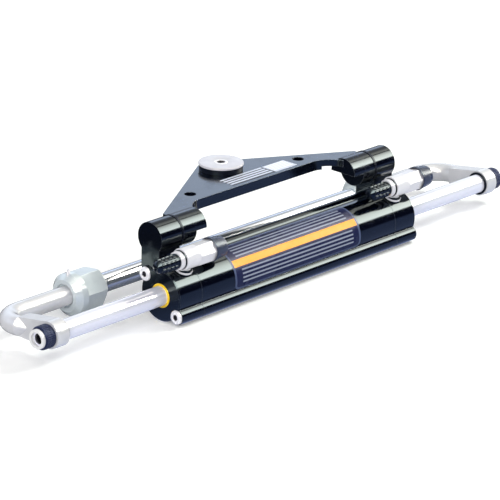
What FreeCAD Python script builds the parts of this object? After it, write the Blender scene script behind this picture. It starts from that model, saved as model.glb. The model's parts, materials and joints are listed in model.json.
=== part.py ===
import FreeCAD, Part
import math
import os

import Sketcher
from FreeCAD import Placement, Rotation, Vector

# Hydraulic steering cylinder, in millimetres.
# +X runs along the piston rod, +Y points from the piston rod to the support rod
# behind it, and +Z points up.  The origin is on the support rod's axis, half way
# along it, where the rod passes through the engine's tilt tube.

SIZES = {
    # Piston rod, piston and stroke
    "rod_radius": 9.525,
    "rod_thread_radius": 7.9,
    "rod_socket_radius": 5.0,
    "rod_socket_depth": 8.0,
    "stroke": 203.2,
    "stroke_reserve": 5.8,
    "piston_length": 28.0,
    "piston_seal_width": 6.0,
    "piston_seal_depth": 3.2,
    "clip_width": 1.6,
    "clip_depth": 0.7,
    "clip_radius": 11.6,
    # Tube and glands
    "bore_radius": 19.05,
    "tube_radius": 25.0,
    "gland_length": 29.9,
    "spigot_length": 15.0,
    "oring_radius": 1.15,
    "oring_inset": 6.0,
    "bush_pocket_radius": 11.65,
    "wiper_length": 6.0,
    "wiper_proud": 0.6,
    "rod_bush_length": 10.0,
    "rod_seal_radius": 13.5,
    "rod_seal_width": 6.0,
    "seal_land": 2.0,
    "oil_recess_radius": 12.0,
    # Tie screws and the lugs that hold them
    "lug_radius": 7.5,
    "lug_y": 20.3,
    "lug_z": 16.0,
    "screw_radius": 4.0,
    "screw_head_radius": 6.8,
    "screw_head_height": 8.0,
    "screw_head_proud": 1.6,
    "screw_socket": 6.0,
    "thread_depth": 22.0,
    # Ears, pivot pins and the barrels of the pivot plate
    "pin_y": 17.0,
    "pin_z": 51.0,
    "ear_radius": 15.5,
    "ear_setback": 2.8,
    "web_front": 5.0,
    "pin_radius": 6.35,
    "pin_seat": 20.0,
    "pin_reach": 15.0,
    "pivot_bush_wall": 1.6,
    "thrust_washer": 2.3,
    "thrust_washer_proud": 0.5,
    "barrel_length": 16.5,
    "half_barrel_length": 13.5,
    # Pivot plate, measured from the pivot pins' axis
    "plate_top": 13.5,
    "plate_thickness": 10.0,
    "plate_end_thickness": 6.7,
    "plate_thick_half": 90.0,
    "plate_corner_y": 12.5,
    "plate_front_y": 18.0,
    "plate_front_fillet": 25.0,
    "apex_y": 66.0,
    "apex_radius": 23.5,
    "plate_hole_x": 75.5,
    "plate_hole_y": 34.0,
    "plate_hole_radius": 5.75,
    # Tiller bolt with its washer and bush
    "tiller_washer_radius": 22.0,
    "tiller_washer_thickness": 2.4,
    "tiller_flange_radius": 21.3,
    "tiller_flange_thickness": 4.8,
    "tiller_sleeve_radius": 9.0,
    "lower_bush_radius": 13.0,
    "lower_bush_thickness": 3.0,
    "shoulder_radius": 5.5,
    "bolt_head_radius": 7.0,
    "bolt_head_height": 6.4,
    "bolt_socket": 8.0,
    "tiller_thread_radius": 4.7625,
    "tiller_thread_length": 15.0,
    # Ports and the bleed fittings that stand on them
    "port_inset": 10.6,
    "port_angle": 113.0,
    "spot_level": 24.0,
    "spot_radius": 9.2,
    "port_radius": 6.5,
    "port_depth": 9.0,
    "oil_drill_radius": 2.0,
    "oil_drill_level": 14.5,
    "fitting_height": 16.0,
    "fitting_hex": 19.0,
    "fitting_hex_start": 8.0,
    "fitting_hex_end": 33.0,
    "fitting_boss_radius": 10.6,
    "fitting_boss_start": -9.5,
    "hose_port_radius": 6.0,
    "hose_port_depth": 18.0,
    "port_seal_height": 1.8,
    "bleed_thread_radius": 4.0,
    "bleed_thread_length": 7.0,
    "bleed_collar_radius": 8.6,
    "bleed_collar_length": 6.0,
    "bleed_barb_radius": 3.6,
    "bleed_barb_length": 21.0,
    "bleed_cap_length": 26.5,
    "bleed_cap_radius": 7.0,
    "bleed_cap_tip_radius": 5.6,
    "bleed_cap_rib": 0.8,
    "port_cap_radius": 10.2,
    "port_cap_tip_radius": 9.2,
    "port_cap_length": 11.5,
    # Support frame behind the cylinder
    "rod_spacing": 69.65,
    "rest_angle": 3.7,
    "bar_radius": 9.3,
    "bar_joint_inset": 4.0,
    "bar_spigot_radius": 5.0,
    "bar_spigot_length": 20.0,
    "eye_reserve": 33.1,
    "eye_width": 14.0,
    "eye_radius": 13.0,
    "arm_straight": 5.0,
    "arm_neck": 10.0,
    "arm_offset": 5.0,
    "bend_radius": 26.0,
    "rod_washer_radius": 11.6,
    "rod_washer_thickness": 1.5,
    "lock_nut_radius": 11.2,
    "lock_nut_chamfer": 1.2,
    "lock_nut_length": 12.0,
    "lock_ring_radius": 9.2,
    "lock_ring_bore": 6.6,
    "lock_ring_length": 3.0,
    # Adjusting nuts on the support rod
    "nut_x": 210.0,
    "nut_hex": 35.0,
    "nut_hex_length": 26.0,
    "nut_hex_turn": 53.0,
    "nut_flange_radius": 20.5,
    "nut_flange_length": 12.0,
    "nut_flange_chamfer": 5.0,
    "nut_collar_radius": 12.0,
    "nut_collar_length": 6.0,
    "nut_recess_radius": 11.5,
    "nut_recess_depth": 3.0,
    "nipple_radius": 1.9,
    "nipple_height": 4.6,
    "nipple_seat": 3.0,
    # Broken edges
    "outer_chamfer": 1.0,
    "split_chamfer": 0.4,
    # Clearances, on the radius
    "running_gap": 0.05,
    "close_gap": 0.02,
    "loose_gap": 0.3,
    "face_gap": 0.05,
}


class Size:
    """A length or angle with its number and the sheet expression behind it."""

    def __init__(self, number, text):
        self.number = float(number)
        self.text = text

    def __add__(self, other):
        other = as_size(other)
        return Size(self.number + other.number, f"({self.text} + {other.text})")

    def __sub__(self, other):
        other = as_size(other)
        return Size(self.number - other.number, f"({self.text} - {other.text})")

    def __mul__(self, other):
        other = as_size(other)
        return Size(self.number * other.number, f"({self.text} * {other.text})")

    def __truediv__(self, other):
        other = as_size(other)
        return Size(self.number / other.number, f"({self.text} / {other.text})")

    def __radd__(self, other):
        return as_size(other) + self

    def __rsub__(self, other):
        return as_size(other) - self

    def __rmul__(self, other):
        return as_size(other) * self

    def __neg__(self):
        return Size(-self.number, f"(-{self.text})")


def as_size(value):
    if isinstance(value, Size):
        return value
    return Size(value, f"({float(value)!r})")


def root(value):
    return Size(math.sqrt(value.number), f"sqrt({value.text})")


def cosine(angle):
    return Size(math.cos(math.radians(angle.number)), f"cos({angle.text} * 1 deg)")


def arctangent(slope):
    return Size(math.degrees(math.atan(slope.number)), f"(atan({slope.text}) / 1 deg)")


def sine(angle):
    return Size(math.sin(math.radians(angle.number)), f"sin({angle.text} * 1 deg)")


class Sheet:
    """The spreadsheet of driving dimensions, read as attributes."""

    def __init__(self, document):
        self.cells = document.addObject("Spreadsheet::Sheet", "sizes")
        for row, (alias, number) in enumerate(SIZES.items(), start=1):
            self.cells.set(f"A{row}", alias.replace("_", " "))
            self.cells.set(f"B{row}", str(number))
            self.cells.setAlias(f"B{row}", alias)
        document.recompute()

    def __getattr__(self, alias):
        return Size(SIZES[alias], f"sizes.{alias}")


doc = FreeCAD.newDocument("steering_cylinder")
s = Sheet(doc)
parts = []

# Places that several pieces share
tube_length = s.stroke + s.piston_length + 2 * s.spigot_length + 2 * s.stroke_reserve
half_tube = tube_length / 2
face_x = half_tube + s.gland_length
spigot_x = half_tube - s.spigot_length
port_x = half_tube + s.port_inset
ear_x = face_x - s.ear_setback
barrel_x = half_tube - s.thrust_washer - 2 * s.face_gap
barrel_in_x = barrel_x - s.barrel_length
half_barrel_in_x = barrel_in_x - s.half_barrel_length
eye_x = face_x + s.stroke / 2 + s.eye_reserve
eye_in_x = eye_x - s.eye_width / 2
eye_out_x = eye_x + s.eye_width / 2
bar_joint_x = s.nut_x - s.bar_joint_inset
shoulder_x = eye_in_x - s.rod_washer_thickness - s.face_gap
LUGS = {"lower": -1, "upper": 1}
SIDES = {"left": -1, "right": 1}

# Where each group of pieces sits in the part's frame
spacing = s.rod_spacing.number
lean = math.radians(s.rest_angle.number)
piston_axis = Vector(0, -spacing * math.cos(lean), spacing * math.sin(lean))
cylinder_place = Placement(piston_axis, Rotation())
frame_place = Placement(piston_axis, Rotation(Vector(1, 0, 0), -s.rest_angle.number))
pivot_place = Placement(piston_axis + Vector(0, s.pin_y.number, s.pin_z.number), Rotation())
tiller_place = pivot_place * Placement(Vector(0, s.apex_y.number, s.plate_top.number), Rotation())


def fitting_place(side):
    """The port's seat: local z points out of the port, local x along the fitting."""
    angle = math.radians(s.port_angle.number)
    level = s.spot_level.number
    seat = Vector(side * port_x.number, level * math.cos(angle), level * math.sin(angle))
    tip = Rotation(Vector(1, 0, 0), s.port_angle.number - 90)
    return cylinder_place * Placement(seat, tip)


# Helpers: bodies, sketches and features bound to the sheet


def bind(feature, path, size):
    feature.setExpression(path, as_size(size).text)


def new_body(label, place):
    body = doc.addObject("PartDesign::Body", label)
    body.Label = label
    body.Placement = place
    parts.append(body)
    return body


def new_sketch(body, plane, offset=0):
    sketch = body.newObject("Sketcher::SketchObject", f"{body.Name}_sketch")
    support = [item for item in body.Origin.OriginFeatures if item.Role == plane][0]
    sketch.AttachmentSupport = [(support, "")]
    sketch.MapMode = "FlatFace"
    bind(sketch, "AttachmentOffset.Base.z", offset)
    return sketch


def pin_down(sketch, geometry, point, x, y):
    """Hold one point of a sketch at x, y from the sketch's origin."""
    for kind, size in (("DistanceX", as_size(x)), ("DistanceY", as_size(y))):
        index = sketch.addConstraint(Sketcher.Constraint(kind, -1, 1, geometry, point, size.number))
        bind(sketch, f"Constraints[{index}]", size)


def set_radius(sketch, geometry, radius):
    index = sketch.addConstraint(Sketcher.Constraint("Radius", geometry, radius.number))
    bind(sketch, f"Constraints[{index}]", radius)


def draw_circle(sketch, x, y, radius):
    centre = Vector(as_size(x).number, as_size(y).number, 0)
    radius = as_size(radius)
    circle = sketch.addGeometry(Part.Circle(centre, Vector(0, 0, 1), radius.number), False)
    pin_down(sketch, circle, 3, x, y)
    set_radius(sketch, circle, radius)


def draw_polygon(sketch, corners):
    corners = [(as_size(x), as_size(y)) for x, y in corners]
    points = [Vector(x.number, y.number, 0) for x, y in corners]
    lines = []
    for start, end in zip(points, points[1:] + points[:1]):
        lines.append(sketch.addGeometry(Part.LineSegment(start, end), False))
    for line, following in zip(lines, lines[1:] + lines[:1]):
        sketch.addConstraint(Sketcher.Constraint("Coincident", line, 2, following, 1))
    for line, (x, y) in zip(lines, corners):
        pin_down(sketch, line, 1, x, y)


def hexagon(across_flats, x=0, y=0, turn=0):
    """Corners of a hexagon; the first corner stands at the turn angle."""
    corner = across_flats / math.sqrt(3)
    corners = []
    for step in range(6):
        angle = as_size(turn) + 60 * step
        corners.append((x + corner * cosine(angle), y + corner * sine(angle)))
    return corners


def settle(body, feature, before, cut):
    """Recompute, and stop if the feature added or removed nothing."""
    body.Tip = feature
    doc.recompute()
    change = body.Shape.Volume - before
    if (cut and change > -1e-6) or (not cut and change < 1e-6):
        raise RuntimeError(f"{body.Label}: {feature.Name} changed nothing")
    return feature


def volume_so_far(body):
    return body.Shape.Volume if body.Tip else 0.0


def extrude(body, plane, start, length, circles=(), polygons=(), cut=False):
    """Pad or pocket of a sketch that starts at an offset and runs along +normal."""
    before = volume_so_far(body)
    sketch = new_sketch(body, plane, start)
    for circle in circles:
        draw_circle(sketch, *circle)
    for corners in polygons:
        draw_polygon(sketch, corners)
    kind = "PartDesign::Pocket" if cut else "PartDesign::Pad"
    feature = body.newObject(kind, f"{body.Name}_cut" if cut else f"{body.Name}_pad")
    feature.Profile = sketch
    feature.Reversed = cut
    bind(feature, "Length", length)
    return settle(body, feature, before, cut)


def revolve(body, corners=(), circles=(), axis="H_Axis", cut=False):
    """Full turn of a profile in the XZ plane about local X or local Z."""
    before = volume_so_far(body)
    sketch = new_sketch(body, "XZ_Plane")
    if corners:
        draw_polygon(sketch, corners)
    for circle in circles:
        draw_circle(sketch, *circle)
    kind = "PartDesign::Groove" if cut else "PartDesign::Revolution"
    feature = body.newObject(kind, f"{body.Name}_groove" if cut else f"{body.Name}_turn")
    feature.Profile = sketch
    feature.ReferenceAxis = (sketch, [axis])
    feature.Angle = 360
    return settle(body, feature, before, cut)


def span(side, near, far):
    """Start and length along +X of a stretch from near to far on one side."""
    near = as_size(near)
    far = as_size(far)
    if side > 0:
        return near, far - near
    return -far, far - near


def edges_across(feature, x):
    """Names of the edges that lie in the plane x."""
    names = []
    for index, edge in enumerate(feature.Shape.Edges, start=1):
        box = edge.BoundBox
        if box.XLength < 1e-6 and abs(box.XMin - x.number) < 1e-4:
            names.append(f"Edge{index}")
    return names


def dress(body, kind, feature, names, size):
    """Chamfer or fillet the named edges of a feature."""
    before = body.Shape.Volume
    dressed = body.newObject(f"PartDesign::{kind}", f"{body.Name}_{kind.lower()}")
    dressed.Base = (feature, names)
    bind(dressed, "Radius" if kind == "Fillet" else "Size", size)
    body.Tip = dressed
    doc.recompute()
    if not names or abs(body.Shape.Volume - before) < 1e-6:
        raise RuntimeError(f"{body.Label}: {kind} changed nothing")
    return dressed


# Cylinder: tube, glands and everything bolted or pressed into them


def lug_circles(radius):
    return [(sign * s.lug_y, sign * s.lug_z, radius) for sign in LUGS.values()]


def make_tube():
    body = new_body("cylinder_tube", cylinder_place)
    extrude(body, "YZ_Plane", -half_tube, tube_length, circles=[(0, 0, s.tube_radius)])
    hull = extrude(body, "YZ_Plane", -half_tube, tube_length, lug_circles(s.lug_radius))
    for side in SIDES.values():
        rim = edges_across(hull, side * half_tube)
        hull = dress(body, "Chamfer", hull, rim, s.split_chamfer)
    extrude(body, "YZ_Plane", -half_tube, tube_length, circles=[(0, 0, s.bore_radius)], cut=True)
    for side in SIDES.values():
        start, length = span(side, half_tube - s.thread_depth, half_tube)
        hole = lug_circles(s.screw_radius + s.close_gap)
        extrude(body, "YZ_Plane", start, length, circles=hole, cut=True)


def make_gland(name, side):
    body = new_body(f"{name}_gland", cylinder_place)
    start, length = span(side, half_tube, face_x)
    extrude(body, "YZ_Plane", start, length, circles=[(0, 0, s.tube_radius)])
    cap = extrude(body, "YZ_Plane", start, length, circles=lug_circles(s.lug_radius))
    cap = dress(body, "Chamfer", cap, edges_across(cap, side * face_x), s.outer_chamfer)
    dress(body, "Chamfer", cap, edges_across(cap, side * half_tube), s.split_chamfer)
    start, length = span(side, spigot_x, half_tube)
    extrude(body, "YZ_Plane", start, length, circles=[(0, 0, s.bore_radius - s.close_gap)])
    add_ear(body, side)
    cut_rod_passage(body, side)
    cut_oring_groove(body, side)
    cut_screw_holes(body, side)
    cut_port(body, side)


def add_ear(body, side):
    """The ear and the web that carries it, with the blind seat of its pin."""
    start, length = span(side, half_tube, ear_x)
    back = s.lug_y + s.lug_radius
    web = [(s.web_front, s.lug_z), (back, s.lug_z), (back, s.pin_z), (s.web_front, s.pin_z)]
    extrude(body, "YZ_Plane", start, length, polygons=[web])
    ear = (s.pin_y, s.pin_z, s.ear_radius)
    extrude(body, "YZ_Plane", start, length, circles=[ear])
    start, length = span(side, half_tube, half_tube + s.pin_seat)
    seat = (s.pin_y, s.pin_z, s.pin_radius + s.close_gap)
    extrude(body, "YZ_Plane", start, length, circles=[seat], cut=True)


def cut_rod_passage(body, side):
    """Stepped bore: wiper and bush pocket, seal groove, land and oil recess."""
    pocket = s.wiper_length + s.rod_bush_length
    seal_start = pocket + s.seal_land
    seal_end = seal_start + s.rod_seal_width
    recess = seal_end + s.seal_land
    end = s.gland_length + s.spigot_length
    land = s.rod_radius + 2 * s.running_gap
    steps = [
        (0, 0),
        (0, s.bush_pocket_radius),
        (pocket, s.bush_pocket_radius),
        (pocket, land),
        (seal_start, land),
        (seal_start, s.rod_seal_radius),
        (seal_end, s.rod_seal_radius),
        (seal_end, land),
        (recess, land),
        (recess, s.oil_recess_radius),
        (end, s.oil_recess_radius),
        (end, 0),
    ]
    revolve(body, [(side * (face_x - depth), radius) for depth, radius in steps], cut=True)


def oring_x():
    return spigot_x + s.oring_inset


def cut_oring_groove(body, side):
    floor = s.bore_radius - 2 * s.oring_radius
    rim = s.bore_radius + s.loose_gap
    x = oring_x()
    near = side * (x - s.oring_radius - s.close_gap)
    far = side * (x + s.oring_radius + s.close_gap)
    revolve(body, [(near, floor), (far, floor), (far, rim), (near, rim)], cut=True)


def cut_screw_holes(body, side):
    start, length = span(side, half_tube, face_x)
    extrude(body, "YZ_Plane", start, length, lug_circles(s.screw_radius + s.loose_gap), cut=True)
    seat_x = face_x - s.screw_head_height + s.screw_head_proud
    start, length = span(side, seat_x, face_x)
    head = lug_circles(s.screw_head_radius + s.loose_gap)
    extrude(body, "YZ_Plane", start, length, head, cut=True)


def port_sketch(body, side, radius):
    """A circle on the port's seat, which is square to the port's own direction."""
    sketch = new_sketch(body, "XY_Plane", s.spot_level * sine(s.port_angle))
    bind(sketch, "AttachmentOffset.Base.x", side * port_x)
    bind(sketch, "AttachmentOffset.Base.y", s.spot_level * cosine(s.port_angle))
    place = sketch.AttachmentOffset
    place.Rotation = Rotation(Vector(1, 0, 0), s.port_angle.number - 90)
    sketch.AttachmentOffset = place
    bind(sketch, "AttachmentOffset.Rotation.Angle", s.port_angle - 90)
    draw_circle(sketch, 0, 0, radius)
    return sketch


def cut_port(body, side):
    """Spot face, port and the drilling that leads oil into the tube."""
    before = volume_so_far(body)
    spot = body.newObject("PartDesign::Pocket", f"{body.Name}_spot")
    spot.Profile = port_sketch(body, side, s.spot_radius)
    spot.Reversed = True
    bind(spot, "Length", s.fitting_height)
    settle(body, spot, before, True)
    before = volume_so_far(body)
    port = body.newObject("PartDesign::Pocket", f"{body.Name}_port")
    port.Profile = port_sketch(body, side, s.port_radius + s.close_gap)
    bind(port, "Length", s.port_depth)
    settle(body, port, before, True)
    start, length = span(side, spigot_x, port_x)
    y = s.oil_drill_level * cosine(s.port_angle)
    z = s.oil_drill_level * sine(s.port_angle)
    extrude(body, "YZ_Plane", start, length, circles=[(y, z, s.oil_drill_radius)], cut=True)


def make_tie_screw(name, side, lug_name, sign):
    lug = Vector(0, sign * s.lug_y.number, sign * s.lug_z.number)
    body = new_body(f"{name}_{lug_name}_screw", cylinder_place * Placement(lug, Rotation()))
    top = face_x + s.screw_head_proud
    seat = top - s.screw_head_height
    tip = half_tube - s.thread_depth + s.screw_radius / 2
    bevel = s.screw_radius / 4
    profile = [
        (tip, 0),
        (tip, s.screw_radius - bevel),
        (tip + bevel, s.screw_radius),
        (seat, s.screw_radius),
        (seat, s.screw_head_radius),
        (top - bevel / 2, s.screw_head_radius),
        (top, s.screw_head_radius - bevel / 2),
        (top, 0),
    ]
    revolve(body, [(side * x, radius) for x, radius in profile])
    start, length = span(side, top - s.screw_radius, top)
    extrude(body, "YZ_Plane", start, length, polygons=[hexagon(s.screw_socket)], cut=True)


def make_wiper(name, side):
    body = new_body(f"{name}_wiper_seal", cylinder_place)
    inner = s.rod_radius + s.running_gap
    outer = s.bush_pocket_radius - s.close_gap
    lip = s.wiper_proud
    profile = [
        (face_x - s.wiper_length, inner + lip),
        (face_x - s.wiper_length, outer),
        (face_x, outer),
        (face_x + lip, outer - lip),
        (face_x + lip, inner),
    ]
    revolve(body, [(side * x, radius) for x, radius in profile])


def make_rod_bush(name, side):
    body = new_body(f"{name}_rod_bush", cylinder_place)
    far = face_x - s.wiper_length - s.close_gap
    near = face_x - s.wiper_length - s.rod_bush_length
    inner = s.rod_radius + s.running_gap
    outer = s.bush_pocket_radius - s.close_gap
    profile = [(near, inner), (far, inner), (far, outer), (near, outer)]
    revolve(body, [(side * x, radius) for x, radius in profile])


def make_rod_seal(name, side):
    """A U-shaped seal, open towards the oil."""
    body = new_body(f"{name}_rod_seal", cylinder_place)
    far = face_x - s.wiper_length - s.rod_bush_length - s.seal_land - s.close_gap
    near = far - s.rod_seal_width + 2 * s.close_gap
    inner = s.rod_radius + s.running_gap
    outer = s.rod_seal_radius - s.close_gap
    wall = (outer - inner) / 3
    middle = (outer + inner) / 2
    profile = [
        (far, inner),
        (far, outer),
        (near, outer),
        (near, outer - wall),
        (near + s.rod_seal_width / 2, middle),
        (near, inner + wall),
        (near, inner),
    ]
    revolve(body, [(side * x, radius) for x, radius in profile])


def make_gland_oring(name, side):
    body = new_body(f"{name}_gland_oring", cylinder_place)
    half = s.oring_radius - s.close_gap
    flat = half * 0.45
    centre = s.bore_radius - s.oring_radius
    section = [(-half, -flat), (-flat, -half), (flat, -half), (half, -flat)]
    section += [(-x, -radius) for x, radius in section]
    x = side * oring_x()
    revolve(body, [(x + along, centre + radius) for along, radius in section])


def make_pivot_pin(name, side):
    body = new_body(f"{name}_pivot_pin", pivot_place)
    near = barrel_x - s.pin_reach + s.loose_gap
    far = half_tube + s.pin_seat - s.loose_gap
    bevel = s.pin_radius / 8
    profile = [
        (near, 0),
        (near, s.pin_radius - bevel),
        (near + bevel, s.pin_radius),
        (far - bevel, s.pin_radius),
        (far, s.pin_radius - bevel),
        (far, 0),
    ]
    revolve(body, [(side * x, radius) for x, radius in profile])


# Ports: the bleed fitting on each gland


def make_port_seal(name, side):
    body = new_body(f"{name}_port_seal", fitting_place(side))
    outer = s.spot_radius - s.loose_gap
    inner = s.port_radius + s.close_gap
    profile = [(inner, 0), (outer, 0), (outer, s.port_seal_height), (inner, s.port_seal_height)]
    revolve(body, profile, axis="V_Axis")


def along_fitting(place):
    """Local frame on the fitting's long axis."""
    return place * Placement(Vector(0, 0, s.fitting_height.number), Rotation())


def make_fitting_body(name, side):
    """Stem, boss and hexagon, bored for the hose and for the bleed screw."""
    body = new_body(f"{name}_fitting_body", along_fitting(fitting_place(side)))
    foot = -(s.fitting_height + s.port_depth - s.loose_gap)
    stem = [(0, foot), (s.port_radius, foot), (s.port_radius, 0), (0, 0)]
    revolve(body, stem, axis="V_Axis")
    boss_length = s.fitting_hex_start - s.fitting_boss_start
    boss = (0, 0, s.fitting_boss_radius)
    extrude(body, "YZ_Plane", s.fitting_boss_start, boss_length, circles=[boss])
    hex_length = s.fitting_hex_end - s.fitting_hex_start
    corners = hexagon(s.fitting_hex, 0, 0, 30)
    extrude(body, "YZ_Plane", s.fitting_hex_start, hex_length, polygons=[corners])
    chamfer_hexagon(body, 1, s.fitting_hex_end, s.fitting_hex)
    mouth = s.fitting_hex_end - s.hose_port_depth
    hose = (0, 0, s.hose_port_radius)
    extrude(body, "YZ_Plane", mouth, s.hose_port_depth, circles=[hose], cut=True)
    bleed = (0, 0, s.bleed_thread_radius + s.running_gap)
    extrude(body, "YZ_Plane", s.fitting_boss_start, mouth - s.fitting_boss_start, [bleed], cut=True)
    oil = (0, 0, s.oil_drill_radius)
    start = -(s.fitting_height + s.port_depth)
    extrude(body, "XY_Plane", start, s.fitting_height + s.port_depth, circles=[oil], cut=True)


def make_bleed_screw(name, side):
    body = new_body(f"{name}_bleed_screw", along_fitting(fitting_place(side)))
    tip = s.fitting_boss_start + s.bleed_thread_length
    seat = s.fitting_boss_start - s.face_gap
    collar_end = seat - s.bleed_collar_length
    middle = (seat + collar_end) / 2
    groove = s.bleed_collar_radius / 12
    barb_end = collar_end - s.bleed_barb_length
    profile = [
        (tip, 0),
        (tip, s.bleed_thread_radius / 2),
        (tip - s.bleed_thread_radius / 2, s.bleed_thread_radius),
        (seat, s.bleed_thread_radius),
        (seat, s.bleed_collar_radius),
        (middle + groove, s.bleed_collar_radius),
        (middle, s.bleed_collar_radius - groove),
        (middle - groove, s.bleed_collar_radius),
        (collar_end, s.bleed_collar_radius),
        (collar_end, s.bleed_barb_radius),
        (barb_end, s.bleed_barb_radius),
        (barb_end, 0),
    ]
    revolve(body, profile)


def make_bleed_cap(name, side):
    """Ribbed rubber cap pushed over the bleed screw's barb."""
    body = new_body(f"{name}_bleed_cap", along_fitting(fitting_place(side)))
    mouth = s.fitting_boss_start - s.bleed_collar_length - 2 * s.face_gap
    end = mouth - s.bleed_cap_length
    bore = s.bleed_barb_radius + s.close_gap
    bore_end = mouth - s.bleed_barb_length - s.loose_gap
    shoulder = s.bleed_cap_tip_radius / 3
    profile = [
        (mouth, bore),
        (mouth, s.bleed_cap_radius),
        (end + shoulder, s.bleed_cap_tip_radius),
        (end, s.bleed_cap_tip_radius - shoulder),
        (end, 0),
        (bore_end, 0),
        (bore_end, bore),
    ]
    revolve(body, profile)
    add_cap_ribs(body, mouth, end)


def add_cap_ribs(body, mouth, end):
    before = volume_so_far(body)
    rib_length = s.bleed_cap_length * 0.8
    level = s.bleed_cap_tip_radius - s.bleed_cap_rib / 2
    top = s.bleed_cap_radius + s.bleed_cap_rib
    half = s.bleed_cap_rib
    sketch = new_sketch(body, "YZ_Plane", mouth - rib_length)
    draw_polygon(sketch, [(-half, level), (half, level), (half / 2, top), (-half / 2, top)])
    rib = body.newObject("PartDesign::Pad", f"{body.Name}_rib")
    rib.Profile = sketch
    bind(rib, "Length", rib_length)
    settle(body, rib, before, False)
    ribs = body.newObject("PartDesign::PolarPattern", f"{body.Name}_ribs")
    ribs.Originals = [rib]
    ribs.Axis = ([item for item in body.Origin.OriginFeatures if item.Role == "X_Axis"][0], [""])
    ribs.Angle = 360
    ribs.Occurrences = 10
    body.Tip = ribs
    doc.recompute()


def make_port_cap(name, side):
    """Plastic cap whose plug closes the hose port."""
    body = new_body(f"{name}_port_cap", along_fitting(fitting_place(side)))
    seat = s.fitting_hex_end + s.face_gap
    end = seat + s.port_cap_length
    plug_end = s.fitting_hex_end - s.hose_port_depth * 0.7
    plug = s.hose_port_radius - s.close_gap
    bevel = s.port_cap_radius / 8
    profile = [
        (plug_end, 0),
        (plug_end, plug),
        (seat, plug),
        (seat, s.port_cap_radius),
        (end - bevel, s.port_cap_tip_radius),
        (end, s.port_cap_tip_radius - bevel),
        (end, 0),
    ]
    revolve(body, profile)


# Piston rod and piston


def clip_x():
    return s.piston_length / 2 + s.face_gap


def make_piston_rod():
    body = new_body("piston_rod", cylinder_place)
    end = eye_out_x + s.lock_nut_length - s.face_gap
    bevel = s.rod_thread_radius / 6
    profile = [
        (-end, 0),
        (-end, s.rod_thread_radius - bevel),
        (-end + bevel, s.rod_thread_radius),
        (-shoulder_x, s.rod_thread_radius),
        (-shoulder_x, s.rod_radius),
        (shoulder_x, s.rod_radius),
        (shoulder_x, s.rod_thread_radius),
        (end - bevel, s.rod_thread_radius),
        (end, s.rod_thread_radius - bevel),
        (end, 0),
    ]
    revolve(body, profile)
    for side in SIDES.values():
        start, length = span(side, end - s.rod_socket_depth, end)
        socket = (0, 0, s.rod_socket_radius)
        extrude(body, "YZ_Plane", start, length, circles=[socket], cut=True)
    floor = s.rod_radius - s.clip_depth
    rim = s.rod_radius + s.loose_gap
    for side in SIDES.values():
        near = side * clip_x()
        far = side * (clip_x() + s.clip_width + 2 * s.close_gap)
        revolve(body, [(near, floor), (far, floor), (far, rim), (near, rim)], cut=True)


def make_piston():
    body = new_body("piston", cylinder_place)
    half = s.piston_length / 2
    seal = s.piston_seal_width / 2
    inner = s.rod_radius + s.close_gap
    outer = s.bore_radius - s.running_gap
    floor = outer - s.piston_seal_depth
    profile = [
        (-half, inner),
        (-half, outer),
        (-seal, outer),
        (-seal, floor),
        (seal, floor),
        (seal, outer),
        (half, outer),
        (half, inner),
    ]
    revolve(body, profile)


def make_piston_seal():
    body = new_body("piston_seal", cylinder_place)
    half = s.piston_seal_width / 2 - s.close_gap
    outer = s.bore_radius - s.running_gap
    floor = outer - s.piston_seal_depth + s.close_gap
    revolve(body, [(-half, floor), (half, floor), (half, outer), (-half, outer)])


def make_piston_clip(name, side):
    body = new_body(f"{name}_piston_clip", cylinder_place)
    near = side * (clip_x() + s.close_gap)
    far = side * (clip_x() + s.close_gap + s.clip_width)
    inner = s.rod_radius - s.clip_depth + s.close_gap
    revolve(body, [(near, inner), (far, inner), (far, s.clip_radius), (near, s.clip_radius)])


# Support frame


def make_support_rod():
    body = new_body("support_rod", Placement())
    end = bar_joint_x - s.face_gap
    revolve(body, [(-end, 0), (-end, s.bar_radius), (end, s.bar_radius), (end, 0)])
    for side in SIDES.values():
        start, length = span(side, end - s.bar_spigot_length - s.loose_gap, end)
        socket = (0, 0, s.bar_spigot_radius + s.close_gap)
        extrude(body, "YZ_Plane", start, length, circles=[socket], cut=True)


def make_arm(name, side):
    """Bent bar with a flattened eye; the local origin is the bend's centre."""
    centre_x = eye_x + s.arm_offset - s.bend_radius
    centre_y = s.rod_spacing - s.bend_radius
    centre = Vector(side * centre_x.number, centre_y.number, 0)
    body = new_body(f"{name}_arm", frame_place * Placement(centre, Rotation()))
    section = (s.bend_radius, 0, s.bar_radius)
    joint = centre_x - bar_joint_x
    start, length = span(side, -joint, 0)
    extrude(body, "YZ_Plane", start, length, circles=[section])
    bend_bar(body, side, section)
    leg = (side * s.bend_radius, 0, s.bar_radius)
    extrude(body, "XZ_Plane", 0, s.arm_straight, circles=[leg])
    neck = extrude(body, "XZ_Plane", s.arm_straight, s.arm_neck, circles=[leg])
    end_radius = s.eye_width / 2 - s.arm_offset
    bind(neck, "TaperAngle", -arctangent((s.bar_radius - end_radius) / s.arm_neck))
    add_eye(body, side, -centre_y)
    start, length = span(side, -joint - s.bar_spigot_length, -joint)
    spigot = (s.bend_radius, 0, s.bar_spigot_radius)
    extrude(body, "YZ_Plane", start, length, circles=[spigot])


def bend_bar(body, side, section):
    before = volume_so_far(body)
    sketch = new_sketch(body, "YZ_Plane")
    draw_circle(sketch, *section)
    bend = body.newObject("PartDesign::Revolution", f"{body.Name}_bend")
    bend.Profile = sketch
    bend.ReferenceAxis = (sketch, ["V_Axis"])
    bend.Angle = 90
    bend.Reversed = side > 0
    settle(body, bend, before, False)


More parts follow.
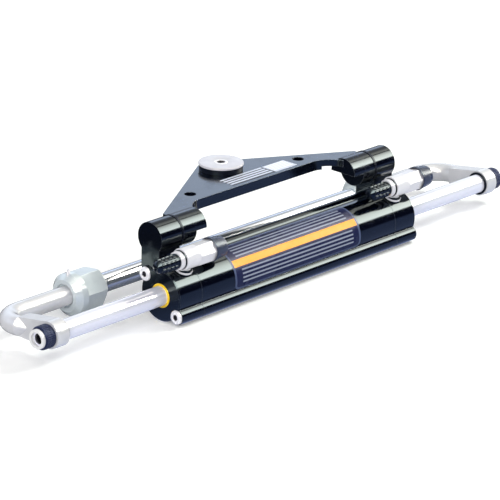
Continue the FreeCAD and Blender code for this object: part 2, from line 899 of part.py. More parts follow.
def add_eye(body, side, eye_y):
    """Round eye, the flanks that widen the bar into it, and the rod's hole."""
    middle = s.bend_radius - s.arm_offset
    start, length = span(side, middle - s.eye_width / 2, middle + s.eye_width / 2)
    extrude(body, "YZ_Plane", start, length, circles=[(eye_y, 0, s.eye_radius)])
    near = s.eye_radius / 4
    flank = root(s.eye_radius * s.eye_radius - near * near)
    far = -s.arm_straight
    taper = [
        (eye_y + near, -flank),
        (far, -s.bar_radius),
        (far, s.bar_radius),
        (eye_y + near, flank),
    ]
    extrude(body, "YZ_Plane", start, length, polygons=[taper])
    start, length = span(side, middle - s.bar_radius, middle + s.bar_radius)
    hole = (eye_y, 0, s.rod_thread_radius + s.running_gap)
    extrude(body, "YZ_Plane", start, length, circles=[hole], cut=True)


def make_rod_washer(name, side):
    body = new_body(f"{name}_rod_washer", frame_place)
    start, length = span(side, eye_in_x - s.rod_washer_thickness, eye_in_x)
    extrude(body, "YZ_Plane", start, length, circles=[(0, 0, s.rod_washer_radius)])
    hole = (0, 0, s.rod_thread_radius + s.running_gap)
    extrude(body, "YZ_Plane", start, length, circles=[hole], cut=True)


def make_lock_nut(name, side):
    body = new_body(f"{name}_lock_nut", frame_place)
    near = eye_out_x
    far = near + s.lock_nut_length
    rim = s.lock_nut_radius
    bevel = s.lock_nut_chamfer
    bore = s.rod_thread_radius + s.running_gap
    profile = [(near, bore), (near, rim), (far - bevel, rim), (far, rim - bevel), (far, bore)]
    revolve(body, [(side * x, radius) for x, radius in profile])


def chamfer_hexagon(body, side, end_x, across_flats):
    """Turn the corners off the end of a hexagon."""
    corner = across_flats / math.sqrt(3) + s.loose_gap
    flat = across_flats / 2
    depth = corner - flat
    profile = [
        (side * end_x, flat - s.loose_gap),
        (side * end_x, corner),
        (side * (end_x - depth / 2), corner),
    ]
    revolve(body, profile, cut=True)


def make_lock_ring(name, side):
    body = new_body(f"{name}_lock_ring", frame_place)
    near = eye_out_x + s.lock_nut_length
    start, length = span(side, near, near + s.lock_ring_length)
    extrude(body, "YZ_Plane", start, length, circles=[(0, 0, s.lock_ring_radius)])
    extrude(body, "YZ_Plane", start, length, circles=[(0, 0, s.lock_ring_bore)], cut=True)


# Adjusting nuts


def make_adjusting_nut(name, side):
    body = new_body(f"{name}_adjusting_nut", Placement())
    hex_in = s.nut_x - s.nut_hex_length
    collar_in = hex_in - s.nut_collar_length
    flange_out = s.nut_x + s.nut_flange_length
    start, length = span(side, hex_in, s.nut_x)
    corners = hexagon(s.nut_hex, 0, 0, s.nut_hex_turn)
    extrude(body, "YZ_Plane", start, length, polygons=[corners])
    chamfer_hexagon(body, -side, -hex_in, s.nut_hex)
    turned = [
        (collar_in, 0),
        (collar_in, s.nut_collar_radius),
        (hex_in, s.nut_collar_radius),
        (s.nut_x, s.nut_collar_radius),
        (s.nut_x, s.nut_flange_radius),
        (flange_out - s.nut_flange_chamfer, s.nut_flange_radius),
        (flange_out, s.nut_flange_radius - s.nut_flange_chamfer),
        (flange_out, 0),
    ]
    revolve(body, [(side * x, radius) for x, radius in turned])
    start, length = span(side, collar_in, flange_out)
    bore = (0, 0, s.bar_radius + s.running_gap)
    extrude(body, "YZ_Plane", start, length, circles=[bore], cut=True)
    start, length = span(side, flange_out - s.nut_recess_depth, flange_out)
    recess = (0, 0, s.nut_recess_radius)
    extrude(body, "YZ_Plane", start, length, circles=[recess], cut=True)
    seat = s.nut_flange_radius - s.nipple_seat
    nipple = (side * nipple_x(), 0, s.nipple_radius + s.close_gap)
    extrude(body, "XY_Plane", seat, s.nipple_seat, circles=[nipple], cut=True)


def nipple_x():
    return s.nut_x + s.nut_flange_length - s.nut_flange_chamfer


def make_grease_nipple(name, side):
    place = Placement(Vector(side * nipple_x().number, 0, 0), Rotation())
    body = new_body(f"{name}_grease_nipple", place)
    foot = s.nut_flange_radius - s.nipple_seat + s.close_gap
    rim = s.nut_flange_radius
    top = rim + s.nipple_height
    neck = s.nipple_radius * 0.6
    profile = [
        (0, foot),
        (s.nipple_radius, foot),
        (s.nipple_radius, rim + s.nipple_height * 0.4),
        (neck, rim + s.nipple_height * 0.55),
        (s.nipple_radius * 0.8, rim + s.nipple_height * 0.8),
        (neck, top),
        (0, top),
    ]
    revolve(body, profile, axis="V_Axis")


# Pivot plate


def draw_plate_outline(sketch):
    """Base along the pins' axis, two sloping sides and a round apex."""
    half = barrel_x
    apex = Vector(0, s.apex_y.number, 0)
    shoulder = Vector(half.number, s.plate_corner_y.number, 0)
    towards = apex - shoulder
    offset = math.asin(s.apex_radius.number / towards.Length)
    start = math.atan2(towards.y, towards.x) - offset - math.pi / 2
    touch = apex + Vector(math.cos(start), math.sin(start), 0) * s.apex_radius.number
    mirrored = Vector(-touch.x, touch.y, 0)
    base_right = Vector(half.number, 0, 0)
    base_left = Vector(-half.number, 0, 0)
    shoulder_left = Vector(-half.number, s.plate_corner_y.number, 0)
    circle = Part.Circle(apex, Vector(0, 0, 1), s.apex_radius.number)
    base = sketch.addGeometry(Part.LineSegment(base_left, base_right), False)
    end_right = sketch.addGeometry(Part.LineSegment(base_right, shoulder), False)
    side_right = sketch.addGeometry(Part.LineSegment(shoulder, touch), False)
    cap = sketch.addGeometry(Part.ArcOfCircle(circle, start, math.pi - start), False)
    side_left = sketch.addGeometry(Part.LineSegment(mirrored, shoulder_left), False)
    end_left = sketch.addGeometry(Part.LineSegment(shoulder_left, base_left), False)
    sketch.addConstraint(Sketcher.Constraint("Coincident", base, 2, end_right, 1))
    sketch.addConstraint(Sketcher.Constraint("Coincident", end_right, 2, side_right, 1))
    sketch.addConstraint(Sketcher.Constraint("Tangent", side_right, 2, cap, 1))
    sketch.addConstraint(Sketcher.Constraint("Tangent", cap, 2, side_left, 1))
    sketch.addConstraint(Sketcher.Constraint("Coincident", side_left, 2, end_left, 1))
    sketch.addConstraint(Sketcher.Constraint("Coincident", end_left, 2, base, 1))
    pin_down(sketch, base, 1, -half, 0)
    pin_down(sketch, base, 2, half, 0)
    pin_down(sketch, end_right, 2, half, s.plate_corner_y)
    pin_down(sketch, end_left, 1, -half, s.plate_corner_y)
    pin_down(sketch, cap, 3, 0, s.apex_y)
    set_radius(sketch, cap, s.apex_radius)


def make_pivot_plate():
    body = new_body("pivot_plate", pivot_place)
    underside = s.plate_top - s.plate_thickness
    outline = new_sketch(body, "XY_Plane", underside)
    draw_plate_outline(outline)
    slab = body.newObject("PartDesign::Pad", "plate_slab")
    slab.Profile = outline
    bind(slab, "Length", s.plate_thickness)
    settle(body, slab, 0.0, False)
    thin_plate_ends(body, underside)
    cut_plate_front(body)
    add_plate_barrels(body)
    holes = [(sign * s.plate_hole_x, s.plate_hole_y, s.plate_hole_radius) for sign in (-1, 1)]
    holes.append((0, s.apex_y, s.tiller_sleeve_radius + s.close_gap))
    extrude(body, "XY_Plane", underside, s.plate_thickness, circles=holes, cut=True)


def thin_plate_ends(body, underside):
    depth = s.plate_thickness - s.plate_end_thickness
    for side in SIDES.values():
        inner = side * s.plate_thick_half
        outer = side * (barrel_x + s.loose_gap)
        front = -s.ear_radius
        step = [(inner, front), (outer, front), (outer, s.apex_y), (inner, s.apex_y)]
        extrude(body, "XY_Plane", underside, depth, polygons=[step], cut=True)


def add_plate_barrels(body):
    """Full barrel beside the ear, then an upper half barrel further in."""
    for side in SIDES.values():
        start, length = span(side, half_barrel_in_x, barrel_x)
        extrude(body, "YZ_Plane", start, length, circles=[(0, 0, s.ear_radius)])
        start, length = span(side, half_barrel_in_x - s.loose_gap, barrel_in_x)
        low = -(s.ear_radius + s.loose_gap)
        reach = s.ear_radius + s.loose_gap
        lower = [(low, low), (reach, low), (reach, 0), (low, 0)]
        extrude(body, "YZ_Plane", start, length, polygons=[lower], cut=True)
        start, length = span(side, barrel_x - s.pin_reach, barrel_x)
        bore = (0, 0, s.pin_radius + s.pivot_bush_wall + s.running_gap + s.close_gap)
        extrude(body, "YZ_Plane", start, length, circles=[bore], cut=True)


def draw_window(sketch, half, low, top, radius):
    """Rectangle with two round upper corners."""
    level = top - radius
    inset = half - radius
    wall = [Vector(half.number, z, 0) for z in (level.number, low.number)]
    mirrored = [Vector(-half.number, z, 0) for z in (low.number, level.number)]
    roof = [Vector(x, top.number, 0) for x in (-inset.number, inset.number)]
    upward = Vector(0, 0, 1)
    left_circle = Part.Circle(Vector(-inset.number, level.number, 0), upward, radius.number)
    right_circle = Part.Circle(Vector(inset.number, level.number, 0), upward, radius.number)
    left = sketch.addGeometry(Part.LineSegment(*mirrored), False)
    left_arc = sketch.addGeometry(Part.ArcOfCircle(left_circle, math.pi / 2, math.pi), False)
    middle = sketch.addGeometry(Part.LineSegment(*roof), False)
    right_arc = sketch.addGeometry(Part.ArcOfCircle(right_circle, 0, math.pi / 2), False)
    right = sketch.addGeometry(Part.LineSegment(*wall), False)
    base = sketch.addGeometry(Part.LineSegment(wall[1], mirrored[0]), False)
    sketch.addConstraint(Sketcher.Constraint("Tangent", left, 2, left_arc, 2))
    sketch.addConstraint(Sketcher.Constraint("Tangent", left_arc, 1, middle, 1))
    sketch.addConstraint(Sketcher.Constraint("Tangent", middle, 2, right_arc, 2))
    sketch.addConstraint(Sketcher.Constraint("Tangent", right_arc, 1, right, 1))
    sketch.addConstraint(Sketcher.Constraint("Coincident", right, 2, base, 1))
    sketch.addConstraint(Sketcher.Constraint("Coincident", base, 2, left, 1))
    pin_down(sketch, left, 1, -half, low)
    pin_down(sketch, base, 1, half, low)
    pin_down(sketch, left_arc, 3, -inset, level)
    pin_down(sketch, right_arc, 3, inset, level)
    set_radius(sketch, left_arc, radius)
    set_radius(sketch, right_arc, radius)


def cut_plate_front(body):
    """Cut-out between the barrels, with round inner corners."""
    before = volume_so_far(body)
    underside = s.plate_top - s.plate_thickness
    sketch = new_sketch(body, "XY_Plane", underside)
    low = -s.ear_radius
    draw_window(sketch, half_barrel_in_x, low, s.plate_front_y, s.plate_front_fillet)
    window = body.newObject("PartDesign::Pocket", "plate_window")
    window.Profile = sketch
    window.Reversed = True
    bind(window, "Length", s.plate_thickness)
    settle(body, window, before, True)


def make_thrust_washer(name, side):
    body = new_body(f"{name}_thrust_washer", pivot_place)
    near = barrel_x + s.face_gap
    start, length = span(side, near, near + s.thrust_washer)
    rim = (0, 0, s.ear_radius + s.thrust_washer_proud)
    extrude(body, "YZ_Plane", start, length, circles=[rim])
    hole = (0, 0, s.pin_radius + s.running_gap)
    extrude(body, "YZ_Plane", start, length, circles=[hole], cut=True)


def make_pivot_bush(name, side):
    body = new_body(f"{name}_pivot_bush", pivot_place)
    near = barrel_x - s.pin_reach
    inner = s.pin_radius + s.running_gap
    outer = inner + s.pivot_bush_wall
    profile = [(near, inner), (barrel_x, inner), (barrel_x, outer), (near, outer)]
    revolve(body, [(side * x, radius) for x, radius in profile])


# Tiller bolt and its bush; local z is 0 on the plate's top


def make_tiller_bush():
    body = new_body("tiller_bush", tiller_place)
    bore = s.shoulder_radius + s.running_gap
    head = s.bolt_head_radius + s.loose_gap
    head_seat = head_seat_z()
    profile = [
        (bore, -s.plate_thickness),
        (s.tiller_sleeve_radius, -s.plate_thickness),
        (s.tiller_sleeve_radius, 0),
        (s.tiller_flange_radius, 0),
        (s.tiller_flange_radius, s.tiller_flange_thickness),
        (head, s.tiller_flange_thickness),
        (head, head_seat),
        (bore, head_seat),
    ]
    revolve(body, profile, axis="V_Axis")


def head_seat_z():
    top = s.tiller_flange_thickness + s.tiller_washer_thickness + s.face_gap
    return top - s.bolt_head_height


def make_lower_bush():
    body = new_body("lower_tiller_bush", tiller_place)
    bore = s.shoulder_radius + s.running_gap
    top = -s.plate_thickness
    foot = top - s.lower_bush_thickness
    rim = s.lower_bush_radius
    revolve(body, [(bore, foot), (rim, foot), (rim, top), (bore, top)], axis="V_Axis")


def make_tiller_washer():
    body = new_body("tiller_washer", tiller_place)
    low = s.tiller_flange_thickness + s.face_gap
    top = low + s.tiller_washer_thickness
    inner = s.bolt_head_radius + s.running_gap
    rim = s.tiller_washer_radius
    bevel = s.tiller_washer_thickness / 4
    profile = [(inner, low), (rim, low), (rim, top - bevel), (rim - bevel, top), (inner, top)]
    revolve(body, profile, axis="V_Axis")


def make_tiller_bolt():
    body = new_body("tiller_bolt", tiller_place)
    seat = head_seat_z() + s.face_gap
    top = seat + s.bolt_head_height
    shoulder = -(s.plate_thickness + s.lower_bush_thickness)
    thread_end = shoulder - s.tiller_thread_length
    bevel = s.tiller_thread_radius / 5
    profile = [
        (0, thread_end - bevel),
        (s.tiller_thread_radius - bevel, thread_end - bevel),
        (s.tiller_thread_radius, thread_end),
        (s.tiller_thread_radius, shoulder),
        (s.shoulder_radius, shoulder),
        (s.shoulder_radius, seat),
        (s.bolt_head_radius, seat),
        (s.bolt_head_radius, top),
        (0, top),
    ]
    revolve(body, profile, axis="V_Axis")
    depth = s.bolt_head_height * 0.7
    extrude(body, "XY_Plane", top - depth, depth, polygons=[hexagon(s.bolt_socket)], cut=True)


# The whole part

make_tube()
for side_name, side_sign in SIDES.items():
    make_gland(side_name, side_sign)
    make_wiper(side_name, side_sign)
    make_rod_bush(side_name, side_sign)
    make_rod_seal(side_name, side_sign)
    make_gland_oring(side_name, side_sign)
    make_pivot_pin(side_name, side_sign)
    for lug_name, lug_sign in LUGS.items():
        make_tie_screw(side_name, side_sign, lug_name, lug_sign)
    make_port_seal(side_name, side_sign)
    make_fitting_body(side_name, side_sign)
    make_bleed_screw(side_name, side_sign)
    make_bleed_cap(side_name, side_sign)
    make_port_cap(side_name, side_sign)
make_piston_rod()
make_piston()
make_piston_seal()
make_support_rod()
make_pivot_plate()
for side_name, side_sign in SIDES.items():
    make_piston_clip(side_name, side_sign)
    make_arm(side_name, side_sign)
    make_rod_washer(side_name, side_sign)
    make_lock_nut(side_name, side_sign)
    make_lock_ring(side_name, side_sign)
    make_adjusting_nut(side_name, side_sign)
    make_grease_nipple(side_name, side_sign)
    make_thrust_washer(side_name, side_sign)
    make_pivot_bush(side_name, side_sign)
make_tiller_bush()
make_lower_bush()
make_tiller_washer()
make_tiller_bolt()

doc.recompute()
faults = [item.Name for item in doc.Objects if "Invalid" in item.State or "Error" in item.State]
for body in parts:
    if body.Shape.isNull() or not body.Shape.isValid() or len(body.Shape.Solids) != 1:
        faults.append(body.Label)
if faults:
    raise RuntimeError(f"faulty objects: {faults}")

os.makedirs("parts", exist_ok=True)
for body in parts:
    body.Shape.exportStep(f"parts/{body.Label}.step")
    box = body.Shape.BoundBox
    print(f"{body.Label}: {body.Shape.Volume:.1f} mm3, x {box.XMin:.1f} to {box.XMax:.1f}")
print(f"{len(parts)} parts written")
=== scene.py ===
# %% [markdown]
# Hydraulic steering cylinder of an outboard engine. A barrel slides on a rod that is
# held at both ends, and a plate on the barrel pushes the engine's tiller. The CAD model
# gives every shape that has a size, and this script adds the finishes and fine detail.

# %% Load the CAD frame
import json
import math
import bmesh
import bpy
from mathutils import Matrix, Vector


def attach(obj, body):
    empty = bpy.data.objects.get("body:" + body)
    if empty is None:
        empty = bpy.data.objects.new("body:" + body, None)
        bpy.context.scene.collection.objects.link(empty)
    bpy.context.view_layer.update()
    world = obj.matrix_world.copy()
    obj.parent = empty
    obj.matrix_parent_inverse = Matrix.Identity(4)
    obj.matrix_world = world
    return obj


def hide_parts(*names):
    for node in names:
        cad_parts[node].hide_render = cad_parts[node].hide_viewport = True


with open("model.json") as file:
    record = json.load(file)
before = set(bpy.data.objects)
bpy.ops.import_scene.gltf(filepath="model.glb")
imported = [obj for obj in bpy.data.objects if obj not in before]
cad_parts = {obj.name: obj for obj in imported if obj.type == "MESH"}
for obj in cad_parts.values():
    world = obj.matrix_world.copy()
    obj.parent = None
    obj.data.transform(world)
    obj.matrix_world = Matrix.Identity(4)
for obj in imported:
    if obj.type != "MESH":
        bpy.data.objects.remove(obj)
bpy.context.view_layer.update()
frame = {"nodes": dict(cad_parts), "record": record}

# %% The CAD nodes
nodes = frame["nodes"]

# %% [markdown]
# The CAD frame is in metres, but a maker thinks of this part in millimetres. All sizes
# below are in millimetres and are scaled once, when a mesh is finished.

# %% Shared places
MM = 0.001
PISTON_AXIS = Vector((0.0, -69.505, 4.495))
SIDES = {"left": -1, "right": 1}
FACE_X = 166.3
TUBE_RADIUS = 25.0
PORT_X = 147.0
PORT_ANGLE = 113
PORT_LEVEL = 24.0
FITTING_HEIGHT = 16.0
PLATE_TOP = 68.995
TILLER_Y = 13.495


def fitting_frame(side):
    """Frame of a bleed fitting: local x runs along it, towards the hose port."""
    angle = math.radians(PORT_ANGLE)
    level = PORT_LEVEL + FITTING_HEIGHT
    middle = Vector((side * PORT_X, level * math.cos(angle), level * math.sin(angle)))
    tip = Matrix.Rotation(angle - math.pi / 2, 4, "X")
    return Matrix.Translation(PISTON_AXIS + middle) @ tip


print("left fitting at", [round(v, 2) for v in fitting_frame(-1).translation])

# %% [markdown]
# The photograph was taken with a long lens from the left front, a little above the
# cylinder. The camera is placed from the angles and the distance that put the CAD
# model's corners on the photograph's, so nothing is tilted by eye.

# %% Camera
IMAGE_PIXELS = 500
FOCAL_PIXELS = 3175.4759
DISTANCE = 3.037346
OFFSET = (32.7827, -2.34046)
CAMERA_TURNS = (47.17603, 20.02972, 1.00330)
azimuth, elevation, roll = (math.radians(degrees) for degrees in CAMERA_TURNS)
forward = Matrix.Rotation(-azimuth, 3, "Z") @ Vector((0, math.cos(elevation), -math.sin(elevation)))
level_right = Vector((math.cos(azimuth), -math.sin(azimuth), 0))
level_up = level_right.cross(forward)
right = math.cos(roll) * level_right + math.sin(roll) * level_up
up = -math.sin(roll) * level_right + math.cos(roll) * level_up
centre = PISTON_AXIS * MM
METRES_PER_PIXEL = DISTANCE / FOCAL_PIXELS
shift = right * OFFSET[0] + up * OFFSET[1]
spot = centre - forward * DISTANCE - shift * METRES_PER_PIXEL
lens = bpy.data.cameras.new("camera")
lens.sensor_width = 36
lens.lens = FOCAL_PIXELS / IMAGE_PIXELS * lens.sensor_width
camera = bpy.data.objects.new("camera", lens)
camera.matrix_world = Matrix.Translation(spot) @ Matrix((right, up, -forward)).transposed().to_4x4()
bpy.context.scene.collection.objects.link(camera)
bpy.context.scene.camera = camera
print("camera at", [round(v, 3) for v in spot], "lens", round(lens.lens, 1))

# %% [markdown]
# Every finish and tree below is made of nodes, so a few short helpers save most of the
# typing: one adds a node and fills its inputs, and the others build on it. A link is
# made where a value comes from another node, and a plain value is set everywhere else.

# %% Node helpers
def feed(tree, socket, value):
    """Link the socket if the value comes from a node, and set it otherwise."""
    if isinstance(value, bpy.types.NodeSocket):
        tree.links.new(value, socket)
    else:
        socket.default_value = value


def add(tree, kind, *first, **named):
    """Add a node, set its properties, and feed its named and its first inputs."""
    node = tree.nodes.new(kind)
    for name, value in named.items():
        if name in node.bl_rna.properties:
            setattr(node, name, value)
        else:
            feed(tree, node.inputs[name.replace("_", " ")], value)
    for socket, value in zip(node.inputs, first):
        feed(tree, socket, value)
    return node


def calculate(tree, operation, *values, **options):
    return add(tree, "ShaderNodeMath", *values, operation=operation, **options).outputs[0]


def fade(tree, value, low, high, **options):
    """0 up to the low value and 1 from the high one."""
    node = add(tree, "ShaderNodeMapRange", value, From_Min=low, From_Max=high, **options)
    return node.outputs[0]


def mix_tones(tree, mask, first, second):
    """Second colour over the first where the mask is white."""
    blend = add(tree, "ShaderNodeMix", mask, data_type="RGBA")
    for socket, colour in zip(blend.inputs[6:8], (first, second)):
        feed(tree, socket, (*colour, 1) if isinstance(colour, tuple) else colour)
    return blend.outputs[2]


def blank_material(name):
    material = bpy.data.materials.new(name)
    material.use_nodes = True
    material.node_tree.nodes.clear()
    return material


print("node helpers ready")

# %% [markdown]
# A product photograph on white paper needs a floor that looks white and still holds the
# soft shadow. The floor adds plain white only for the eye, so no extra light falls on
# the part. Reflections see paper that is lit in front and fades behind the part, which
# gives black parts their navy undersides and pale parts a darker upper rim.

# %% Floor
LIT_TO_Y = -0.080
DARK_FROM_Y = -0.005
FLOOR_FRONT = (0.42, 0.53, 0.94)
FLOOR_BACK = (0.08, 0.09, 0.12)
FLOOR_GLOW = 0.20
FLOOR_Z = -0.0205
FLOOR_HALF = 30


def seen_by_eye(tree, path):
    """1 for rays from the camera, also through glass."""
    return calculate(tree, "MAXIMUM", path["Is Camera Ray"], path["Is Transmission Ray"])


def white_paper():
    material = blank_material("white_paper")
    tree = material.node_tree
    path = add(tree, "ShaderNodeLightPath").outputs
    shade = add(tree, "ShaderNodeBsdfDiffuse", Color=(0.9, 0.9, 0.9, 1)).outputs[0]
    glow = add(tree, "ShaderNodeEmission", Color=(1.0, 1.0, 0.99, 1), Strength=FLOOR_GLOW).outputs[0]
    bright = add(tree, "ShaderNodeAddShader", shade, glow).outputs[0]
    where = add(tree, "ShaderNodeTexCoord").outputs["Object"]
    along_y = add(tree, "ShaderNodeSeparateXYZ", where).outputs["Y"]
    back = fade(tree, along_y, LIT_TO_Y, DARK_FROM_Y, interpolation_type="SMOOTHSTEP")
    tone = mix_tones(tree, back, FLOOR_FRONT, FLOOR_BACK)
    mirrored = add(tree, "ShaderNodeEmission", Color=tone, Strength=1.0).outputs[0]
    plain = add(tree, "ShaderNodeMixShader", path["Is Glossy Ray"], shade, mirrored).outputs[0]
    whole = add(tree, "ShaderNodeMixShader", seen_by_eye(tree, path), plain, bright)
    add(tree, "ShaderNodeOutputMaterial", Surface=whole.outputs[0])
    return material


floor_mesh = bpy.data.meshes.new("floor")
ring = ((-1, -1), (1, -1), (1, 1), (-1, 1))
corners = [(x * FLOOR_HALF, y * FLOOR_HALF, FLOOR_Z) for x, y in ring]
floor_mesh.from_pydata(corners, [], [(0, 1, 2, 3)])
floor_mesh.materials.append(white_paper())
floor = bpy.data.objects.new("floor", floor_mesh)
bpy.context.scene.collection.objects.link(floor)

# %% [markdown]
# Polished rods show the studio more than they show themselves. The world is white to the
# eye, while reflections see a studio: a pale backdrop behind the part, a large softbox
# over it that grows brighter towards the camera's side, and a dark room below that
# softbox. All long parts lie along x, so the studio changes with the angle round x.

# %% World
SOFTBOX_RADIANCE = 30.0
AMBIENT = 0.55
AMBIENT_TONE = (0.985, 0.985, 0.98, 1)
STUDIO = [
    (0, (0.012, 0.013, 0.015)),
    (12, (0.022, 0.025, 0.031)),
    (22, (0.050, 0.058, 0.073)),
    (34, (0.052, 0.060, 0.074)),
    (44, (0.020, 0.021, 0.023)),
    (66, (0.022, 0.022, 0.022)),
    (91, (0.14, 0.13, 0.11)),
    (93, (0.004, 0.004, 0.004)),
    (98, (0.004, 0.004, 0.004)),
    (100, (0.26, 0.24, 0.205)),
    (122, (0.64, 0.59, 0.50)),
    (144, (0.86, 0.79, 0.675)),
    (147.5, (0.10, 0.10, 0.095)),
    (149, (0.002, 0.002, 0.003)),
    (180, (0.001, 0.001, 0.003)),
]
world = bpy.data.worlds.new("studio")
bpy.context.scene.world = world
world.use_nodes = True
sky = world.node_tree
sky.nodes.clear()
path = add(sky, "ShaderNodeLightPath").outputs
where = add(sky, "ShaderNodeTexCoord").outputs["Generated"]
split = add(sky, "ShaderNodeSeparateXYZ", where).outputs
angle = calculate(sky, "ARCTAN2", split["Z"], split["Y"])
studio = add(sky, "ShaderNodeValToRGB", calculate(sky, "DIVIDE", angle, math.pi))
ramp = studio.color_ramp
while len(ramp.elements) < len(STUDIO):
    ramp.elements.new(0.5)
for element, (degrees, colour) in zip(ramp.elements, STUDIO):
    element.position = degrees / 180
    element.color = (*colour, 1)
seen = studio.outputs["Color"]
reflected = add(sky, "ShaderNodeBackground", Color=seen, Strength=SOFTBOX_RADIANCE).outputs[0]
ambient = add(sky, "ShaderNodeBackground", Color=AMBIENT_TONE, Strength=AMBIENT).outputs[0]
white = add(sky, "ShaderNodeBackground", Color=(1, 1, 1, 1), Strength=1.0).outputs[0]
room = add(sky, "ShaderNodeMixShader", path["Is Glossy Ray"], ambient, reflected).outputs[0]
whole = add(sky, "ShaderNodeMixShader", seen_by_eye(sky, path), room, white).outputs[0]
add(sky, "ShaderNodeOutputWorld", Surface=whole)
world.cycles.sampling_method = "NONE"
print("studio bands:", len(STUDIO))

# %% [markdown]
# Three softboxes light the part and throw its soft shadow. Reflections see the studio
# above instead of these lamps, so each can be set without the other.

# %% Lamps
def softbox(name, place, target, width, height, power, colour):
    lamp = bpy.data.lights.new(name, "AREA")
    lamp.shape = "RECTANGLE"
    lamp.size = width
    lamp.size_y = height
    lamp.energy = power
    lamp.color = colour
    holder = bpy.data.objects.new(name, lamp)
    aim = (Vector(target) - Vector(place)).to_track_quat("-Z", "Y")
    holder.matrix_world = Matrix.Translation(place) @ aim.to_matrix().to_4x4()
    holder.visible_glossy = False
    bpy.context.scene.collection.objects.link(holder)


KEY_PLACE = (1.75, -0.55, 1.75)
BACK_PLACE = (-0.6, 1.9, 1.6)
LEFT_PLACE = (-2.2, -1.0, 0.9)
softbox("key_softbox", KEY_PLACE, (0, -0.05, 0), 1.0, 0.55, 42, (0.95, 1.0, 0.93))
softbox("back_softbox", BACK_PLACE, (0, 0, 0), 1.6, 0.8, 12, (0.97, 0.98, 1.0))
softbox("left_softbox", LEFT_PLACE, (-0.15, 0, 0), 1.2, 1.2, 22, (0.97, 0.98, 1.0))
bpy.context.scene.view_settings.view_transform = "Standard"

# %% [markdown]
# Several finishes share the same small effects, so each effect is one node group. Broken
# edges catch the light on machined metal: the Bevel node rounds them for the shader
# alone, and where its normal leaves the true one, the edge mask turns white. There the
# edge takes a lighter colour, broken up by noise, which is partly bare metal where the
# coating wore off and partly a painted highlight.

# %% Group: worn edges with a painted highlight
FLOAT = "NodeSocketFloat"
VECTOR = "NodeSocketVector"


def new_group(name, inputs, outputs):
    group = bpy.data.node_groups.new(name, "ShaderNodeTree")
    for label, kind, value in inputs:
        socket = group.interface.new_socket(label, in_out="INPUT", socket_type=kind)
        socket.default_value = value
    for label, kind in outputs:
        group.interface.new_socket(label, in_out="OUTPUT", socket_type=kind)
    return group, add(group, "NodeGroupInput").outputs, add(group, "NodeGroupOutput").inputs


def make_edge_group():
    inputs = [("Radius", FLOAT, 0.0004), ("Breakup", FLOAT, 900.0), ("Amount", FLOAT, 0.5)]
    group, start, end = new_group("worn_and_highlit_edges", inputs, [("Mask", FLOAT), ("Normal", VECTOR)])
    rounded = add(group, "ShaderNodeBevel", start["Radius"], samples=6).outputs[0]
    true = add(group, "ShaderNodeNewGeometry").outputs["Normal"]
    agree = add(group, "ShaderNodeVectorMath", rounded, true, operation="DOT_PRODUCT")
    edge = fade(group, agree.outputs["Value"], 0.995, 0.90)
    where = add(group, "ShaderNodeTexCoord").outputs["Object"]
    noise = add(group, "ShaderNodeTexNoise", Vector=where, Scale=start["Breakup"], Detail=4.0,
                Roughness=0.6)
    chips = fade(group, noise.outputs["Fac"], 0.35, 0.65)
    worn_and_highlit = calculate(group, "MULTIPLY", edge, chips)
    feed(group, end["Mask"], calculate(group, "MULTIPLY", worn_and_highlit, start["Amount"], use_clamp=True))
    feed(group, end["Normal"], rounded)
    return group


edge_group = make_edge_group()
print("group:", edge_group.name)

# %% [markdown]
# No real surface has one roughness. Fine grain and slow smudges change it over the
# surface, and a faint height from the same grain breaks up reflections.

# %% Group: grain and smudges
def make_grain_group():
    inputs = [("Grain Scale", FLOAT, 2500.0), ("Smudge Scale", FLOAT, 45.0)]
    inputs += [("Roughness", FLOAT, 0.3), ("Spread", FLOAT, 0.1)]
    outputs = [("Roughness", FLOAT), ("Height", FLOAT), ("Smudge", FLOAT)]
    group, start, end = new_group("grain_and_smudges", inputs, outputs)
    where = add(group, "ShaderNodeTexCoord").outputs["Object"]
    grain = add(group, "ShaderNodeTexNoise", Vector=where, Scale=start["Grain Scale"], Detail=3.0)
    smudge = add(group, "ShaderNodeTexNoise", Vector=where, Scale=start["Smudge Scale"],
                 Detail=5.0, Distortion=0.6)
    soft = fade(group, smudge.outputs["Fac"], 0.4, 0.7, interpolation_type="SMOOTHSTEP")
    both = calculate(group, "ADD", grain.outputs["Fac"], soft)
    centred = calculate(group, "SUBTRACT", both, 0.9)
    swing = calculate(group, "MULTIPLY_ADD", centred, start["Spread"], start["Roughness"],
                      use_clamp=True)
    feed(group, end["Roughness"], swing)
    feed(group, end["Height"], grain.outputs["Fac"])
    feed(group, end["Smudge"], soft)
    return group


grain_group = make_grain_group()
print("group:", grain_group.name)

# %% [markdown]
# Rods, nuts and glands are turned or ground, which leaves very fine rings round their
# axis. The rings are noise that only changes along the axis, and the axis is a choice of
# the material, because most parts here lie along x and the tiller's stand upright.

# %% Group: turned rings
ALONG_X = (1.0, 0.0, 0.0)
ALONG_Y = (0.0, 1.0, 0.0)
ALONG_Z = (0.0, 0.0, 1.0)


def make_turned_group():
    inputs = [("Axis", VECTOR, ALONG_X), ("Ring Scale", FLOAT, 3000.0)]
    group, start, end = new_group("turned_rings", inputs, [("Height", FLOAT)])
    where = add(group, "ShaderNodeTexCoord").outputs["Object"]
    along = add(group, "ShaderNodeVectorMath", where, start["Axis"], operation="DOT_PRODUCT")
    rings = add(group, "ShaderNodeTexNoise", noise_dimensions="1D", W=along.outputs["Value"],
                Scale=start["Ring Scale"], Detail=2.0)
    feed(group, end["Height"], rings.outputs["Fac"])
    return group


turned_group = make_turned_group()
print("group:", turned_group.name)
